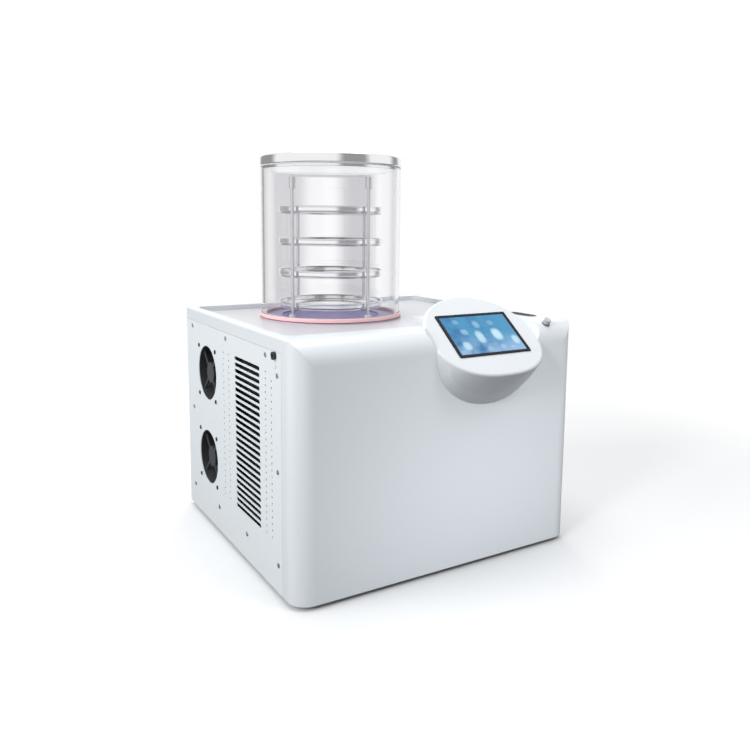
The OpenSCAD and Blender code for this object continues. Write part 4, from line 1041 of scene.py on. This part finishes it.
def makeLid(node, look):
    low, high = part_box(node)
    outer = (high.x - low.x) / 2
    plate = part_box("lid_seal")[1].z - low.z    # the spigot's height
    spigot = radiiOf("chamber_cylinder")[0] - look["spigotPlay"]
    tall = high.z - low.z
    band = outer - look["band"]
    floor = tall - look["dish"]
    outline = roundedOutline([
        (0, 0, 0), (spigot, 0, look["spigotEdge"]), (spigot, plate, 0),
        (outer, plate, look["rim"]), (outer, tall, look["rim"]), (band, tall, look["edge"]),
        (band - look["dishSlope"], floor, look["edge"]), (0, floor, 0)], look["cornerSteps"])
    return standFor(node, turnedMesh(node, outline, look["segments"]), onChamber(low.z))


makeLid("chamber_lid", lidLook)


# chamber wall: a smooth cast tube with polished ends
wallLook = {"end": 0.8 * mm, "endSteps": 3, "segments": 288, "sharp": 12}


def makeWall(node, look):
    low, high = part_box(node)
    inner, outer = radiiOf(node)
    tall, end = high.z - low.z, look["end"]
    outline = roundedOutline([(inner, 0, end), (outer, 0, end), (outer, tall, end),
                              (inner, tall, end)], look["endSteps"])
    mesh = turnedMesh(node, outline, look["segments"], look["sharp"])
    return standFor(node, mesh, onChamber(low.z))


makeWall("chamber_cylinder", wallLook)


# base gasket: a soft ring with round lips and a groove for the wall
gasketLook = {"foot": 0.4 * mm, "lip": 1.8 * mm, "lipShare": 0.49, "innerLip": 0.8,
              "play": 0.2 * mm, "segments": 160}


def makeGasket(node, look):
    low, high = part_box(node)
    inner, outer = radiiOf(node)
    wallIn, wallOut = radiiOf("chamber_cylinder")
    tall = high.z - low.z
    floor = chamberLow.z - low.z
    lipIn = min(look["lip"], (wallIn - inner) * look["lipShare"])
    lipOut = min(look["lip"], (outer - wallOut) * look["lipShare"])
    grooveIn, grooveOut = wallIn - look["play"], wallOut + look["play"]
    outline = roundedOutline([
        (inner, 0, look["foot"]), (outer, 0, look["foot"]), (outer, tall, lipOut),
        (grooveOut, tall, lipOut * look["innerLip"]), (grooveOut, floor, 0), (grooveIn, floor, 0),
        (grooveIn, tall, lipIn * look["innerLip"]), (inner, tall, lipIn)])
    return standFor(node, turnedMesh(node, outline, look["segments"]), onChamber(low.z))


makeGasket("base_gasket", gasketLook)
print("lid, wall and gasket made")


stageLook = {
    "floorSize": 3.0, "floorSegments": 96, "floorDrop": 0.2 * mm,
    "floorColour": (0.93, 0.93, 0.935, 1), "bounceColour": (0.18, 0.18, 0.185, 1),
    "drift": 0.004, "driftScale": 0.8, "roughness": 0.85, "glossDrift": 0.04,
    "fade": (1.9, 0.9),    # the floor is gone at the first radius and whole at the second
    "skyColour": (0.98, 0.99, 1.0, 1), "skyStrength": 0.34,
    # dark flags beside the set, which give the polished metal its bands: bearing, half width
    "metalFlags": [(-80, 23), (114, 26), (8, 11)], "metalSoft": 8, "metalTop": 0.48,
    "metalShade": (0.34, 0.34, 0.34, 1),
    # soft grey flags far behind the set, seen only through the clear wall
    "wallFlags": [(59.4, 2.0), (68.0, 2.6)], "wallSoft": 1.2, "wallTop": 0.3,
    "wallShade": (0.62, 0.62, 0.6386, 1),
    "topFade": 0.14,
}

lightLooks = {
    # place, aim, size, watts, colour
    "keyLeft": ((-3.2, 0.3, 2.0), (0, 0, 0.35), 2.4, 55, (0.99, 1.0, 1.0)),
    "topSoft": ((0.2, 0.5, 3.6), (0, 0, 0.3), 3.0, 60, (1.0, 0.995, 0.99)),
    "frontRight": ((1.3, -2.2, 3.4), (0, 0, 0.3), 1.4, 28, (0.94, 0.975, 1.0)),
    "frontLeft": ((-3.4, -1.5, 1.8), (0, 0, 0.2), 0.9, 50, (0.95, 0.98, 1.0)),
    "frontFoot": ((0.1, -0.6, -0.02), (0.1, 0, 0.0), 0.7, 1.5, (0.95, 0.98, 1.0)),
    "wellFill": ((-0.09, 0.02, 0.42), (0, 0.17, 0.44), 0.1, 0.055, (0.90, 0.86, 1.0)),
    "rearFill": ((1.4, 3.0, 0.62), (0.05, 0.35, 0.3), 1.0, 34, (0.97, 0.985, 1.0)),
}
mirroredLights = ("topSoft",)    # metal and gloss show only this one
# these light one piece and no other
lightsOnly = {"frontFoot": "outer_cover", "wellFill": "cold_trap"}


def makeFloor(look):
    shape = bmesh.new()
    bmesh.ops.create_circle(shape, cap_ends=True, radius=look["floorSize"],
                            segments=look["floorSegments"])
    floor = addObject("floor", meshFrom(shape, "floor"))
    material, tree, shader = startMaterial("floorPale", {"Specular IOR Level": 0.1})
    # white where it is looked at, but grey to the light that it throws back up at the object
    ray = addNode(tree, "ShaderNodeLightPath").outputs
    pale = blendColour(tree, ray["Is Camera Ray"], look["bounceColour"], look["floorColour"])
    giveSkin(tree, shader, driftSkin(tree, pale, look))
    away = vectorCalc(tree, "LENGTH", objectPlace(tree), output="Value")
    solid = easeBetween(tree, away, *look["fade"])
    through = addNode(tree, "ShaderNodeBsdfTransparent")
    mixed = addNode(tree, "ShaderNodeMixShader", {
        0: solid, 1: through.outputs[0], 2: shader.outputs[0]})
    feed(tree, tree.nodes["Material Output"], {"Surface": mixed.outputs[0]})
    floor.data.materials.append(material)
    floor.location.z = cadBox[0].z - look["floorDrop"]


def makeSky(look):
    world = bpy.data.worlds.new("studio")
    bpy.context.scene.world = world
    world.use_nodes = True
    tree = world.node_tree
    tree.nodes.clear()
    white = (1.0, 1.0, 1.0, 1)
    part = partsOf(tree, addNode(tree, "ShaderNodeTexCoord").outputs["Generated"])
    bearing = calc(tree, "ARCTAN2", part["Y"], part["X"])
    ray = addNode(tree, "ShaderNodeLightPath").outputs

    def flags(places, soft, top):
        mask = None
        for centre, half in places:
            gap = calc(tree, "ABSOLUTE", calc(tree, "SUBTRACT", bearing, math.radians(centre)))
            flag = easeBetween(tree, gap, math.radians(half + soft), math.radians(half - soft))
            mask = flag if mask is None else calc(tree, "MAXIMUM", mask, flag)
        below = easeBetween(tree, part["Z"], top + look["topFade"], top - look["topFade"])
        return calc(tree, "MULTIPLY", mask, below)

    def backdrop(colour, strength=1.0):
        values = {"Color": colour, "Strength": strength}
        return addNode(tree, "ShaderNodeBackground", values).outputs[0]

    def choose(depth, below, above):
        values = {0: calc(tree, "GREATER_THAN", ray[depth], 0.5), 1: below, 2: above}
        return addNode(tree, "ShaderNodeMixShader", values).outputs[0]

    # what is seen behind the object, what it mirrors and what lights it
    shaded = calc(tree, "MULTIPLY", flags(look["wallFlags"], look["wallSoft"], look["wallTop"]),
                  ray["Is Transmission Ray"])
    seen = backdrop(blendColour(tree, shaded, white, look["wallShade"]))
    dark = flags(look["metalFlags"], look["metalSoft"], look["metalTop"])
    mirrored = backdrop(blendColour(tree, dark, white, look["metalShade"]))
    lighting = backdrop(look["skyColour"], look["skyStrength"])
    whole = choose("Diffuse Depth", choose("Glossy Depth", seen, mirrored), lighting)
    feed(tree, addNode(tree, "ShaderNodeOutputWorld"), {"Surface": whole})


def makeLights(looks):
    for name, (place, aim, size, watts, colour) in looks.items():
        data = bpy.data.lights.new(name, "AREA")
        data.shape = "DISK"
        data.size = size
        data.energy = watts
        data.color = colour
        light = addObject(name, data)
        light.location = place
        facing = (Vector(aim) - Vector(place)).to_track_quat("-Z", "Y")
        light.rotation_euler = facing.to_euler()
        light.visible_camera = False
        light.visible_transmission = False
        light.visible_glossy = name in mirroredLights
        if name in lightsOnly:
            lit = bpy.data.collections.new(name + "Lit")
            lit.objects.link(cadNodes[lightsOnly[name]])
            light.light_linking.receiver_collection = lit


makeFloor(stageLook)
makeSky(stageLook)
makeLights(lightLooks)
bpy.context.scene.view_settings.view_transform = "Standard"
print("stage and lights ready")
